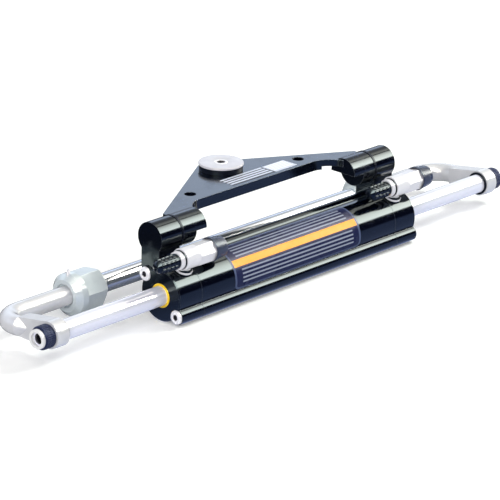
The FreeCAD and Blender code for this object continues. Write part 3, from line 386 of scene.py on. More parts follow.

# %% [markdown]
# Sockets and bores get little light, and their shade is painted into their colour.
# Ambient occlusion that looks only at the piece itself finds them, whatever stands next
# to the piece.

# %% Group: painted shade in recesses
def make_recess_shade_group():
    inputs = [("Depth", FLOAT, 0.006), ("Start", FLOAT, 0.75), ("Full", FLOAT, 0.35)]
    group, start, end = new_group("painted_recess_shade", inputs, [("Mask", FLOAT)])
    painted_shade = add(group, "ShaderNodeAmbientOcclusion", samples=8, only_local=True,
                 Distance=start["Depth"])
    feed(group, end["Mask"], fade(group, painted_shade.outputs["AO"], start["Start"], start["Full"]))
    return group


recess_shade_group = make_recess_shade_group()
print("group:", recess_shade_group.name)

# %% [markdown]
# A finish is then a short recipe: two tones that the smudges blend, how rough it is and
# how much that changes, how its edges wear and take a painted highlight, whether it was
# turned, how dark the painted shade in its recesses is, and how dark the painted shade
# makes a pale part where it turns away from the eye.

# %% Finish recipe
RIM_START = 0.76
RIM_FULL = 0.98
GRAIN_DEPTH = 0.00002


def place_group(tree, group, **values):
    return add(tree, "ShaderNodeGroup", node_tree=group, **values).outputs


def end_material(tree, colour, roughness, relief, **values):
    """Principled shader with its relief, and the material's output."""
    shader = add(tree, "ShaderNodeBsdfPrincipled", Base_Color=colour, Roughness=roughness,
                 Normal=relief.outputs[0], **values)
    add(tree, "ShaderNodeOutputMaterial", Surface=shader.outputs[0])


def finish(name, tone, smudged, worn_and_highlit, metal=0.0, roughness=0.3, spread=0.08, wear_and_highlight=0.4,
           radius=0.0004, bump=0.1, rings=None, specular=0.5, tint=(1.0, 1.0, 1.0),
           recess_shade=None, depth=0.006, rim=None):
    """Smudged tone, worn edges with a painted highlight, painted shade in recesses and at the rim,
    and grain or turned rings as relief.
    """
    material = blank_material(name)
    tree = material.node_tree
    surface = place_group(tree, grain_group, Roughness=roughness, Spread=spread)
    edges = place_group(tree, edge_group, Radius=radius, Amount=wear_and_highlight)
    skin = mix_tones(tree, surface["Smudge"], tone, smudged)
    # lighter edges: partly bare metal where the coating wore off, partly a painted highlight
    skin = mix_tones(tree, edges["Mask"], skin, worn_and_highlit)
    # painted shade: sockets and bores darken where ambient occlusion finds them
    if recess_shade is not None:
        painted_shade = place_group(tree, recess_shade_group, Depth=depth)
        skin = mix_tones(tree, painted_shade["Mask"], skin, recess_shade)
    # painted shade: a pale part darkens towards its outline, where it turns away from the eye
    if rim is not None:
        facing = add(tree, "ShaderNodeLayerWeight", Blend=0.5).outputs["Facing"]
        away = fade(tree, facing, RIM_START, RIM_FULL, interpolation_type="SMOOTHSTEP")
        skin = mix_tones(tree, away, skin, rim)
    height = surface["Height"]
    if rings is not None:
        height = place_group(tree, turned_group, Axis=rings)["Height"]
    relief = add(tree, "ShaderNodeBump", Strength=bump, Distance=GRAIN_DEPTH, Height=height,
                 Normal=edges["Normal"])
    end_material(tree, skin, surface["Roughness"], relief, Metallic=metal,
                 Specular_IOR_Level=specular, Specular_Tint=(*tint, 1))
    return material


print("finish recipe ready")

# %% [markdown]
# The castings, the tube and the plate have a black coating that mirrors the room with a
# faint blue sheen, so the sheen is a tint on the reflection and the tone stays almost
# black. Rubber, caps and lock nuts use the same recipe with less shine.

# %% Blacks and coloured plastics
NAVY_SHEEN = (0.66, 0.87, 1.0)
black_aluminium = finish(
    "black_aluminium", (0.0006, 0.0010, 0.0036), (0.0009, 0.0014, 0.0048), (0.30, 0.33, 0.36),
    roughness=0.12, spread=0.05, wear_and_highlight=0.5, radius=0.0005, specular=0.36, tint=NAVY_SHEEN)
brushed_plate = finish(
    "brushed_plate", (0.0010, 0.0016, 0.0050), (0.0016, 0.0024, 0.0070), (0.34, 0.37, 0.40),
    roughness=0.15, spread=0.09, wear_and_highlight=0.6, radius=0.0006, bump=0.22, rings=ALONG_Y,
    specular=0.40, tint=NAVY_SHEEN)
black_rubber = finish(
    "black_rubber", (0.0010, 0.0015, 0.0050), (0.002, 0.003, 0.008), (0.10, 0.11, 0.14),
    roughness=0.13, spread=0.06, wear_and_highlight=0.3, bump=0.15, specular=0.32, tint=NAVY_SHEEN)
black_plastic = finish(
    "black_plastic", (0.0020, 0.0026, 0.0070), (0.004, 0.005, 0.011), (0.06, 0.07, 0.09),
    roughness=0.32, bump=0.2, specular=0.15, tint=NAVY_SHEEN)
cap_plastic = finish(
    "cap_plastic", (0.030, 0.036, 0.062), (0.040, 0.046, 0.074), (0.22, 0.24, 0.28),
    roughness=0.28, wear_and_highlight=0.6, radius=0.0006, bump=0.2, specular=0.26, tint=NAVY_SHEEN)
dark_nut = finish(
    "dark_nut", (0.014, 0.018, 0.054), (0.022, 0.026, 0.068), (0.14, 0.16, 0.24),
    roughness=0.36, spread=0.10, wear_and_highlight=0.5, specular=0.10, tint=NAVY_SHEEN)
yellow_seal = finish(
    "yellow_seal", (0.92, 0.60, 0.010), (0.84, 0.52, 0.008), (0.95, 0.68, 0.04),
    roughness=0.42)
pale_nylon = finish(
    "pale_nylon", (0.78, 0.77, 0.78), (0.70, 0.70, 0.71), (0.84, 0.84, 0.84),
    roughness=0.40)
print("plastics and coatings ready")

# %% [markdown]
# The pale metals here are satin plated or ground. Most of their light is scattered, and
# only a small share of it is mirrored, so they stay white without bright patches.

# %% Metals
# painted shade that pale parts take towards their outline
PAINTED_RIM_SHADE = (0.16, 0.16, 0.20)
chrome = finish(
    "chrome", (0.84, 0.84, 0.94), (0.81, 0.82, 0.92), (0.92, 0.92, 0.95), metal=0.12,
    roughness=0.07, spread=0.03, bump=0.05, rings=ALONG_X, recess_shade=(0.01, 0.01, 0.015),
    depth=0.014, rim=PAINTED_RIM_SHADE)
polished_steel = finish(
    "polished_steel", (0.62, 0.66, 0.72), (0.57, 0.61, 0.67), (0.85, 0.85, 0.85),
    metal=0.72, roughness=0.14, spread=0.02, bump=0.01, rings=ALONG_X)
bright_steel = finish(
    "bright_steel", (0.90, 0.89, 0.93), (0.84, 0.83, 0.87), (0.95, 0.94, 0.96),
    metal=0.04, roughness=0.24, rings=ALONG_X, recess_shade=(0.02, 0.02, 0.03), depth=0.012,
    rim=PAINTED_RIM_SHADE)
plated_steel = finish(
    "plated_steel", (0.68, 0.68, 0.71), (0.63, 0.63, 0.66), (0.90, 0.90, 0.92),
    metal=0.10, roughness=0.20, spread=0.06, specular=0.30, rim=PAINTED_RIM_SHADE)
nut_steel = finish(
    "nut_steel", (0.64, 0.70, 0.73), (0.58, 0.64, 0.67), (0.95, 0.95, 0.96),
    metal=0.16, roughness=0.20, spread=0.05, wear_and_highlight=0.9, radius=0.0004, specular=0.30,
    rim=PAINTED_RIM_SHADE)
plated_brass = finish(
    "plated_brass", (0.78, 0.77, 0.82), (0.72, 0.71, 0.76), (0.95, 0.94, 0.95),
    metal=0.02, roughness=0.22, specular=0.35, rim=PAINTED_RIM_SHADE)
piston_alloy = finish(
    "piston_alloy", (0.55, 0.56, 0.57), (0.45, 0.46, 0.48), (0.70, 0.70, 0.70),
    metal=1.0, roughness=0.32, spread=0.10, rings=ALONG_X)
bronze = finish(
    "bronze", (0.50, 0.33, 0.15), (0.40, 0.25, 0.11), (0.60, 0.42, 0.20),
    metal=1.0, roughness=0.35, spread=0.10, rings=ALONG_X)
FINISHES = dict(
    black_aluminium=black_aluminium, black_rubber=black_rubber, black_plastic=black_plastic,
    dark_nut=dark_nut, yellow_seal=yellow_seal, pale_nylon=pale_nylon, chrome=chrome,
    bright_steel=bright_steel, plated_steel=plated_steel, plated_brass=plated_brass,
    piston_alloy=piston_alloy, bronze=bronze)
print("finishes:", ", ".join(FINISHES))

# %% [markdown]
# Every CAD node already stands in its place with the right shape, so it only needs its
# finish. The record names a material slot for each node. A few nodes look different from
# the rest of their slot, and they get a finish of their own.

# %% Finishes of the CAD nodes
for row in frame["record"]["subparts"]:
    mesh = nodes[row["node"]].data
    mesh.materials.clear()
    mesh.materials.append(FINISHES[row["material_slot"]])
OWN_FINISHES = {
    "support_rod": polished_steel,
    "pivot_plate": brushed_plate,
    "left_adjusting_nut": nut_steel,
    "right_adjusting_nut": nut_steel,
}
for name, material in OWN_FINISHES.items():
    nodes[name].data.materials[0] = material

# %% [markdown]
# Small parts that were turned on a lathe are made the same way here: a list of rings
# along x, joined into a skin. A radius may be a function of the angle, which is how a
# hexagon and its turned corners come out of the same lathe.

# %% Lathe
def value_at(value, angle):
    return value(angle) if callable(value) else value


def ring_of_points(shape, x, radius, steps):
    """One ring round x; a radius of 0 gives a single point on the axis."""
    if radius == 0:
        return [shape.verts.new((x, 0, 0))]
    points = []
    for step in range(steps):
        angle = math.tau * step / steps
        size = value_at(radius, angle)
        place = (value_at(x, angle), size * math.cos(angle), size * math.sin(angle))
        points.append(shape.verts.new(place))
    return points


def join_rings(shape, first, second):
    steps = max(len(first), len(second))
    for step in range(steps):
        after = (step + 1) % steps
        corners = [first[step % len(first)], first[after % len(first)]]
        corners += [second[after % len(second)], second[step % len(second)]]
        shape.faces.new(list(dict.fromkeys(corners)))


def turned(rings, steps=96):
    """Skin through rings of (x, radius); without a point on the axis it closes on itself."""
    shape = bmesh.new()
    loops = [ring_of_points(shape, x, radius, steps) for x, radius in rings]
    for first, second in zip(loops, loops[1:]):
        join_rings(shape, first, second)
    if len(loops[0]) > 1:
        join_rings(shape, loops[-1], loops[0])
    return shape


def hexagon(flats):
    """Radius of a hexagon that stands on a corner."""
    def radius(angle):
        from_flat = (angle - math.pi / 6) % (math.pi / 3) - math.pi / 6
        return flats / 2 / math.cos(from_flat)
    return radius


CHAMFER_SLOPE = 0.58


def chamfered_end(end, inwards, flats, rim):
    """Place along x where a turned cone leaves a hexagon's corners."""
    corner = hexagon(flats)

    def x(angle):
        return end + inwards * (corner(angle) - rim) * CHAMFER_SLOPE
    return x


print("lathe ready")

# %% [markdown]
# A shape of the lathe becomes a piece of the scene when it has its place, its finish and
# its body. Parts of one piece are gathered first, and its edges are broken last, either
# with a Bevel modifier or, where the rings already have them, with smooth shading alone.

# %% Putting pieces together
UPRIGHT = Matrix.Rotation(-math.pi / 2, 4, "Y")
BROKEN_FROM = math.radians(28)
SHARP_FROM = math.radians(40)


def moved(shape, place):
    bmesh.ops.transform(shape, matrix=place, verts=shape.verts)
    return shape


def together(*shapes):
    """One shape that holds all the given ones."""
    whole = bmesh.new()
    for shape in shapes:
        carrier = bpy.data.meshes.new("carrier")
        shape.to_mesh(carrier)
        shape.free()
        whole.from_mesh(carrier)
        bpy.data.meshes.remove(carrier)
    return whole


def finish_piece(name, shape, material, body, stands_for=(), bevel=0.3):
    """Turn a shape in millimetres into a piece of the scene that rides on a body."""
    if all(edge.is_manifold for edge in shape.edges):
        bmesh.ops.recalc_face_normals(shape, faces=shape.faces)
    moved(shape, Matrix.Scale(MM, 4))
    for face in shape.faces:
        face.smooth = True
    mesh = bpy.data.meshes.new(name)
    shape.to_mesh(mesh)
    shape.free()
    mesh.materials.clear()
    mesh.materials.append(material)
    piece = bpy.data.objects.new(name, mesh)
    bpy.context.scene.collection.objects.link(piece)
    if bevel:
        edge = piece.modifiers.new("broken_edges", "BEVEL")
        edge.width = bevel * MM
        edge.segments = 2
        edge.limit_method = "ANGLE"
        edge.angle_limit = BROKEN_FROM
        edge.harden_normals = True
    else:
        mesh.set_sharp_from_angle(angle=SHARP_FROM)
    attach(piece, body)
    if stands_for:
        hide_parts(*stands_for)
    return piece


print("assembly helpers ready")

# %% [markdown]
# The ribbed rubber caps and the knurled lock nuts repeat one small block many times. A
# Geometry Nodes tree sets copies of its input block in rings round x, each facing out,
# and the script keeps only the finished mesh.

# %% Geometry Nodes: copies round x
INTEGER = "NodeSocketInt"
GEOMETRY = "NodeSocketGeometry"
MATERIAL = "NodeSocketMaterial"


def new_geometry_tree(name, inputs):
    tree = bpy.data.node_groups.new(name, "GeometryNodeTree")
    for label, kind in [("Geometry", GEOMETRY), *inputs, ("Material", MATERIAL)]:
        tree.interface.new_socket(label, in_out="INPUT", socket_type=kind)
    tree.interface.new_socket("Geometry", in_out="OUTPUT", socket_type=GEOMETRY)
    return tree, add(tree, "NodeGroupInput").outputs, add(tree, "NodeGroupOutput").inputs


def combine(tree, **parts):
    """Vector from X, Y and Z; those that aren't given stay 0."""
    return add(tree, "ShaderNodeCombineXYZ", **parts).outputs[0]


def end_tree(tree, start, end, geometry):
    """Realize what was instanced, set the material and hand it out."""
    real = add(tree, "GeometryNodeRealizeInstances", geometry).outputs[0]
    dressed = add(tree, "GeometryNodeSetMaterial", Geometry=real, Material=start["Material"])
    feed(tree, end[0], dressed.outputs[0])


def make_round_tree():
    inputs = [("Count", INTEGER), ("Rows", INTEGER), ("Start", FLOAT), ("Pitch", FLOAT)]
    inputs += [("Radius", FLOAT), ("Taper", FLOAT)]
    tree, start, end = new_geometry_tree("copies_round_x", inputs)
    first = combine(tree, X=start["Start"])
    step = combine(tree, X=start["Pitch"])
    rows = add(tree, "GeometryNodeMeshLine", Count=start["Rows"], Start_Location=first,
               Offset=step)
    circle = add(tree, "GeometryNodeMeshCircle", Vertices=start["Count"], Radius=1.0)
    upright = add(tree, "GeometryNodeTransform", circle.outputs[0], Rotation=(0, math.pi / 2, 0))
    rings = add(tree, "GeometryNodeInstanceOnPoints", Points=rows.outputs[0],
                Instance=upright.outputs[0])
    points = add(tree, "GeometryNodeRealizeInstances", rings.outputs[0]).outputs[0]
    place = add(tree, "GeometryNodeInputPosition").outputs[0]
    parts = add(tree, "ShaderNodeSeparateXYZ", place).outputs
    run = calculate(tree, "SUBTRACT", parts["X"], start["Start"])
    size = calculate(tree, "MULTIPLY_ADD", run, start["Taper"], start["Radius"])
    outwards = combine(tree, Y=parts["Y"], Z=parts["Z"])
    spread = add(tree, "ShaderNodeVectorMath", outwards, operation="SCALE", Scale=size)
    along = combine(tree, X=parts["X"])
    target = add(tree, "ShaderNodeVectorMath", spread.outputs[0], along, operation="ADD")
    facing = add(tree, "FunctionNodeAxesToRotation", outwards, ALONG_X, primary_axis="Z",
                 secondary_axis="X")
    stored = add(tree, "GeometryNodeCaptureAttribute")
    stored.capture_items.new("ROTATION", "Facing")
    feed(tree, stored.inputs[0], points)
    feed(tree, stored.inputs["Facing"], facing.outputs[0])
    grown = add(tree, "GeometryNodeSetPosition", Geometry=stored.outputs[0],
                Position=target.outputs[0])
    copies = add(tree, "GeometryNodeInstanceOnPoints", Points=grown.outputs[0],
                 Instance=start[0], Rotation=stored.outputs["Facing"])
    end_tree(tree, start, end, copies.outputs[0])
    return tree


def grow(tree, shape, **values):
    """Run a Geometry Nodes tree on a shape and return what it makes as a shape."""
    mesh = bpy.data.meshes.new("seed")
    shape.to_mesh(mesh)
    shape.free()
    holder = bpy.data.objects.new("seed", mesh)
    bpy.context.scene.collection.objects.link(holder)
    modifier = holder.modifiers.new("grow", "NODES")
    modifier.node_group = tree
    for item in tree.interface.items_tree:
        if item.in_out == "INPUT" and item.name in values:
            modifier[item.identifier] = values[item.name]
    ready = holder.evaluated_get(bpy.context.evaluated_depsgraph_get())
    result = bpy.data.meshes.new_from_object(ready)
    grown = bmesh.new()
    grown.from_mesh(result)
    bpy.data.objects.remove(holder)
    bpy.data.meshes.remove(mesh)
    bpy.data.meshes.remove(result)
    return grown


def rounded_block(length, width, height, edge):
    block = bmesh.new()
    bmesh.ops.create_cube(block, size=1, matrix=Matrix.Diagonal((length, width, height, 1)))
    sides = block.edges[:]
    bmesh.ops.bevel(block, geom=sides, offset=edge, segments=2, profile=0.5, affect="EDGES")
    return block


round_tree = make_round_tree()
print("tree:", round_tree.name)

# %% [markdown]
# Each bleed fitting carries a ribbed rubber cap on its bleed screw. The cap is a lathe
# shape with a rounded tip, and eight columns of blocks stand on it in four rows.

# %% Bleed caps
CAP_MOUTH = -15.6
CAP_END = -42.1
CAP_RADIUS = 6.9
CAP_TIP_RADIUS = 6.3
CAP_TAPER = (CAP_RADIUS - CAP_TIP_RADIUS) / (CAP_MOUTH - CAP_END)
CAP_PITCH = -5.2
BARB_RADIUS = 3.6
BARB_END = CAP_MOUTH - 20.9


def at_both_ends(*makers):
    """Run the makers for the left end and then for the right one."""
    for name, side in SIDES.items():
        for make in makers:
            make(name, side)


def make_bleed_cap(name, side):
    skin = turned([
        (BARB_END - 0.4, 0), (BARB_END - 0.4, BARB_RADIUS + 0.02),
        (CAP_MOUTH, BARB_RADIUS + 0.02), (CAP_MOUTH, CAP_RADIUS + 0.4),
        (CAP_MOUTH - 1.7, CAP_RADIUS + 0.6), (CAP_MOUTH - 2.2, CAP_RADIUS - 0.3),
        (CAP_END + 4.6, CAP_TIP_RADIUS - 0.3), (CAP_END + 3.0, CAP_TIP_RADIUS - 0.6),
        (CAP_END + 1.5, CAP_TIP_RADIUS - 1.6), (CAP_END + 0.5, CAP_TIP_RADIUS - 3.1),
        (CAP_END, CAP_TIP_RADIUS - 4.9), (CAP_END, 0),
    ])
    block = rounded_block(4.2, 3.5, 2.4, 0.75)
    blocks = grow(round_tree, block, Count=8, Rows=4, Start=CAP_MOUTH - 5.0, Pitch=CAP_PITCH,
                  Radius=CAP_RADIUS - 0.6, Taper=CAP_TAPER, Material=black_rubber)
    shape = moved(together(skin, blocks), fitting_frame(side))
    finish_piece(f"{name}_ribbed_cap", shape, black_rubber,
                 f"{name}_bleeder", [f"{name}_bleed_cap"], bevel=0)


at_both_ends(make_bleed_cap)
print("bleed caps: 2, with 32 blocks each")

# %% [markdown]
# Behind the cap sits the bleed screw, whose collar has a groove between two pale rims.
# Where the screw enters the fitting, a thin black ring stands in the gap as painted
# shade; it is a ring of its own rather than a colour on the screw. All are plain turned
# rings.

# %% Bleed screws
BOSS_START = -9.5
SCREW_RADIUS = 4.0
SCREW_SEAT = BOSS_START - 0.05
COLLAR_END = CAP_MOUTH + 0.05


def make_bleed_screw(name, side):
    shape = turned([
        (-2.5, 0), (-2.5, SCREW_RADIUS - 2.0),
        (-4.5, SCREW_RADIUS), (SCREW_SEAT, SCREW_RADIUS),
        (SCREW_SEAT, 7.0), (-11.0, 7.0),
        (-11.2, 8.7), (-12.6, 9.0),
        (-12.9, 8.5), (-13.3, 8.5),
        (-13.6, 9.0), (-15.1, 8.8),
        (COLLAR_END, 8.2), (COLLAR_END, BARB_RADIUS),
        (BARB_END, BARB_RADIUS), (BARB_END, 0),
    ])
    moved(shape, fitting_frame(side))
    finish_piece(f"{name}_bleed_collar", shape, plated_brass,
                 f"{name}_bleeder", [f"{name}_bleed_screw"], bevel=0.15)


# A black ring in the gap where the screw enters the fitting, as painted shade.
def make_gap_shade_ring(name, side):
    shape = turned([
        (-9.6, 7.05), (-9.6, 8.9),
        (-9.9, 9.3), (-10.5, 9.3),
        (-10.9, 8.9), (-10.9, 7.05),
    ])
    moved(shape, fitting_frame(side))
    finish_piece(f"{name}_gap_shade_ring", shape, black_rubber,
                 f"{name}_bleeder", bevel=0)


at_both_ends(make_bleed_screw, make_gap_shade_ring)
print("bleed screws and their seals: 2 of each")

# %% [markdown]
# The fitting itself is a round boss that turns into a long hexagon, with its corners
# turned off at the end, on a stem that goes down into the gland. The hexagon's radius
# and the place of its ends change with the angle, so one lathe shape gives it all.

# %% Fitting bodies
HEX_START = 8.0
HEX_END = 33.0
HEX_FLATS = 19.0
HEX_RIM = 9.4
BOSS_RADIUS = 10.6
STEM_RADIUS = 6.5
STEM_TOP = -6.0
PORT_BORE = 6.0
PORT_DEPTH = 18


def make_fitting_body(name, side):
    corners = hexagon(HEX_FLATS)
    bar = turned([
        (BOSS_START, SCREW_RADIUS + 0.05), (BOSS_START, BOSS_RADIUS - 0.5),
        (BOSS_START + 0.5, BOSS_RADIUS), (HEX_START - 0.4, BOSS_RADIUS),
        (chamfered_end(HEX_START, 1, HEX_FLATS, HEX_RIM), corners),
        (chamfered_end(HEX_END, -1, HEX_FLATS, HEX_RIM), corners), (HEX_END, HEX_RIM - 0.1),
        (HEX_END, PORT_BORE), (HEX_END - PORT_DEPTH, PORT_BORE),
        (HEX_END - PORT_DEPTH, SCREW_RADIUS + 0.05),
    ])
    foot = -(FITTING_HEIGHT + 8.7)
    stem = turned([(foot, 0), (foot, STEM_RADIUS), (STEM_TOP, STEM_RADIUS), (STEM_TOP, 0)])
    moved(stem, UPRIGHT)
    shape = moved(together(bar, stem), fitting_frame(side))
    finish_piece(f"{name}_bleed_fitting", shape, plated_brass,
                 "barrel", [f"{name}_fitting_body"], bevel=0.2)


at_both_ends(make_fitting_body)
print("fitting bodies: 2")

# %% [markdown]
# Between the fitting and the gland shows a short rubber collar on a pale ring, round the
# stem. They are turned like the fitting and then set upright.

# %% Port collars
SEAT_TOP = -(FITTING_HEIGHT - 1.8)
COLLAR_BORE = STEM_RADIUS + 0.05


def make_port_collar(name, side):
    collar = turned([
        (SEAT_TOP + 1.8, COLLAR_BORE), (SEAT_TOP + 1.8, 8.3),
        (-11.2, 8.3), (-10.7, 7.8),
        (-10.7, COLLAR_BORE),
    ])
    ring = turned([
        (SEAT_TOP + 0.1, COLLAR_BORE), (SEAT_TOP + 0.1, 9.0),
        (SEAT_TOP + 1.3, 9.0), (SEAT_TOP + 1.7, 8.6),
        (SEAT_TOP + 1.7, COLLAR_BORE),
    ])
    place = fitting_frame(side) @ UPRIGHT
    finish_piece(f"{name}_port_collar", moved(collar, place), black_rubber,
                 "barrel", bevel=0)
    finish_piece(f"{name}_port_ring", moved(ring, place), plated_brass,
                 "barrel", bevel=0)


at_both_ends(make_port_collar)
print("port collars: 2, each on its ring")

# %% [markdown]
# A soft plastic cap closes each hose port until the hoses are fitted. It has a plug in
# the bore and a flared skirt over the hexagon's end, which one closed section gives.

# %% Port caps
CAP_SEAT = HEX_END + 0.05
CAP_BACK = CAP_SEAT + 11.5
SKIRT_RADIUS = 11.0


def make_port_cap(name, side):
    shape = turned([
        (HEX_END - 12.6, 0), (HEX_END - 12.6, PORT_BORE - 0.02),
        (CAP_SEAT, PORT_BORE - 0.02), (CAP_SEAT, SKIRT_RADIUS),
        (HEX_END - 5.2, SKIRT_RADIUS), (HEX_END - 5.4, SKIRT_RADIUS + 0.5),
        (HEX_END - 4.6, SKIRT_RADIUS + 0.9), (CAP_SEAT + 1.0, SKIRT_RADIUS + 0.2),
        (CAP_BACK - 2.0, 10.2), (CAP_BACK - 0.7, 9.8),
        (CAP_BACK, 9.0), (CAP_BACK - 0.5, 7.8),
        (CAP_BACK - 0.5, 0),
    ])
    moved(shape, fitting_frame(side))
    finish_piece(f"{name}_hose_port_cap", shape, cap_plastic,
                 "barrel", [f"{name}_port_cap"], bevel=0.15)


at_both_ends(make_port_cap)
print("port caps: 2")

# %% [markdown]
# Two cap screws tie each gland to the tube. Their heads stand a little proud of the
# gland's face and have domed rims and a hexagon socket.

# %% Tie screws
LUG_Y = 20.3
LUG_Z = 16.0
HEAD_TOP = FACE_X + 1.6
HEAD_RADIUS = 6.8
HEAD_LENGTH = 8
SHANK_RADIUS = 4.0
SHANK_END = HEAD_TOP - 51.5
SOCKET_FLATS = 5.2


def make_tie_screw(name, side, lug, sign):
    rings = [
        (SHANK_END, 0), (SHANK_END, SHANK_RADIUS - 1.0),
        (SHANK_END + 1.0, SHANK_RADIUS), (HEAD_TOP - HEAD_LENGTH, SHANK_RADIUS),
        (HEAD_TOP - HEAD_LENGTH, HEAD_RADIUS), (HEAD_TOP - 1.9, HEAD_RADIUS),
        (HEAD_TOP - 1.0, HEAD_RADIUS - 0.3), (HEAD_TOP - 0.3, HEAD_RADIUS - 1.1),
        (HEAD_TOP, HEAD_RADIUS - 2.2), (HEAD_TOP, 3.3),
        (HEAD_TOP - 0.5, hexagon(SOCKET_FLATS)), (HEAD_TOP - 4, hexagon(SOCKET_FLATS)),
        (HEAD_TOP - 4.6, 0),
    ]
    shape = turned([(side * x, radius) for x, radius in rings])
    moved(shape, Matrix.Translation(PISTON_AXIS + Vector((0, sign * LUG_Y, sign * LUG_Z))))
    finish_piece(f"{name}_{lug}_cap_screw", shape, bright_steel,
                 "barrel", [f"{name}_{lug}_screw"], bevel=0)


for name, side in SIDES.items():
    make_tie_screw(name, side, "lower", -1)
    make_tie_screw(name, side, "upper", 1)
print("tie screws: 4")

# %% [markdown]
# The lock nuts at the rod's ends are round, with a knurl of small blocks pressed into
# the rim, so that a pin spanner and a hand can both hold them.

# %% Lock nuts
EYE_OUT_X = 308.0
LOCK_NUT_LENGTH = 12.0
LOCK_NUT_RADIUS = 11.2
LOCK_NUT_BORE = 7.99
KNURLS = 36


def make_lock_nut(name, side):
    far = EYE_OUT_X + LOCK_NUT_LENGTH
    rings = [
        (EYE_OUT_X, LOCK_NUT_BORE), (EYE_OUT_X, LOCK_NUT_RADIUS - 0.9),
        (EYE_OUT_X + 0.5, LOCK_NUT_RADIUS - 0.4), (far - 1.2, LOCK_NUT_RADIUS - 0.4),
        (far, LOCK_NUT_RADIUS - 1.5), (far, LOCK_NUT_BORE),
    ]
    skin = turned([(side * x, radius) for x, radius in rings])
    block = rounded_block(4.4, 1.05, 1.2, 0.25)
    blocks = grow(round_tree, block, Count=KNURLS, Rows=2, Start=side * (EYE_OUT_X + 3.2),
                  Pitch=side * 5.0, Radius=LOCK_NUT_RADIUS - 0.6, Taper=0.0, Material=dark_nut)
    shape = moved(together(skin, blocks), Matrix.Translation(PISTON_AXIS))
    finish_piece(f"{name}_knurled_nut", shape, dark_nut,
                 "support_frame", [f"{name}_lock_nut"], bevel=0)


at_both_ends(make_lock_nut)
print("lock nuts: 2, with", 2 * KNURLS, "knurls each")

# %% [markdown]
# Each adjusting nut is greased through a small nipple in its flange: a hexagon, a waist
# and a ball that the grease gun grips. It is tiny, so 48 steps round it are enough.

# %% Grease nipples
NIPPLE_X = 217.0
FLANGE_RADIUS = 20.5
NIPPLE_FLATS = 3.3


def make_grease_nipple(name, side):
    shape = turned([
        (FLANGE_RADIUS - 2.98, 0), (FLANGE_RADIUS - 2.98, 1.85),
        (FLANGE_RADIUS + 0.2, 1.85), (FLANGE_RADIUS + 0.4, hexagon(NIPPLE_FLATS)),
        (FLANGE_RADIUS + 1.6, hexagon(NIPPLE_FLATS)), (FLANGE_RADIUS + 1.9, 1.2),
        (FLANGE_RADIUS + 2.7, 0.9), (FLANGE_RADIUS + 3.2, 1.35),
        (FLANGE_RADIUS + 3.9, 1.4), (FLANGE_RADIUS + 4.5, 0.8),
        (FLANGE_RADIUS + 4.6, 0),
    ], steps=48)
    moved(shape, Matrix.Translation((side * NIPPLE_X, 0, 0)) @ UPRIGHT)
    finish_piece(f"{name}_ball_nipple", shape, plated_brass,
                 f"{name}_nut", [f"{name}_grease_nipple"], bevel=0)


at_both_ends(make_grease_nipple)
print("grease nipples: 2")

# %% [markdown]
# The tiller bolt hangs below the plate with a real helical thread. A spiral carries a
# small diamond along the thread's root, and the tree joins it to the turned core.

# %% Geometry Nodes: thread
def make_thread_tree():
    names = ("Radius", "Length", "Turns", "Ridge", "Foot")
    tree, start, end = new_geometry_tree("thread_round_z", [(name, FLOAT) for name in names])
    spiral = add(tree, "GeometryNodeCurveSpiral", Resolution=40, Rotations=start["Turns"],
                 Start_Radius=start["Radius"], End_Radius=start["Radius"],
                 Height=start["Length"])
    diamond = add(tree, "GeometryNodeCurvePrimitiveCircle", Resolution=4, Radius=start["Ridge"])
    ridge = add(tree, "GeometryNodeCurveToMesh", Curve=spiral.outputs[0],
                Profile_Curve=diamond.outputs[0], Fill_Caps=True)
    foot = combine(tree, Z=start["Foot"])
    lower = add(tree, "GeometryNodeTransform", Geometry=ridge.outputs[0], Translation=foot)
    both = add(tree, "GeometryNodeJoinGeometry", start[0])
    feed(tree, both.inputs[0], lower.outputs[0])
    end_tree(tree, start, end, both.outputs[0])
    return tree


thread_tree = make_thread_tree()
print("tree:", thread_tree.name)

# %% [markdown]
# The bolt's flush head sits in a wide ground washer, which is the brightest flat face of
# the part. Its turned rings run round the upright axis, so it has a finish of its own.

# %% Tiller bolt and washer
TILLER_PLACE = Matrix.Translation((0, TILLER_Y, PLATE_TOP))
BOLT_TOP = 7.3
BOLT_END = -28.9
BOLT_SOCKET_FLATS = 8
BOLT_HEAD_RADIUS = 7.0
CORE_RADIUS = 3.95
THREAD_RADIUS = 4.76
THREAD_RIDGE = 0.8
THREAD_PITCH = 1.5875
THREAD_LENGTH = 13.2
THREAD_TURNS = THREAD_LENGTH / THREAD_PITCH
washer_steel = finish(
    "washer_steel", (0.64, 0.63, 0.68), (0.58, 0.57, 0.62), (0.95, 0.93, 0.95),
    metal=0.03, roughness=0.34, wear_and_highlight=0.8, rings=ALONG_Z, specular=0.3)


def make_tiller_bolt():
    core = turned([
        (BOLT_END, 0), (BOLT_END, CORE_RADIUS - 0.75),
        (BOLT_END + 1.2, CORE_RADIUS), (-13.6, CORE_RADIUS),
        (-13.0, 5.5), (0.9, 5.5),
        (0.9, BOLT_HEAD_RADIUS), (BOLT_TOP - 0.5, BOLT_HEAD_RADIUS),
        (BOLT_TOP, BOLT_HEAD_RADIUS - 0.5), (BOLT_TOP, 4.75),
        (BOLT_TOP - 0.4, hexagon(BOLT_SOCKET_FLATS)),
        (BOLT_TOP - 4.5, hexagon(BOLT_SOCKET_FLATS)), (BOLT_TOP - 5.0, 0),
    ])
    moved(core, UPRIGHT)
    shape = grow(thread_tree, core, Radius=THREAD_RADIUS - THREAD_RIDGE, Length=THREAD_LENGTH,
                 Turns=THREAD_TURNS, Ridge=THREAD_RIDGE - 0.01, Foot=BOLT_END + 1.3,
                 Material=bright_steel)
    moved(shape, TILLER_PLACE)
    finish_piece("threaded_tiller_bolt", shape, bright_steel,
                 "tiller", ["tiller_bolt"], bevel=0)


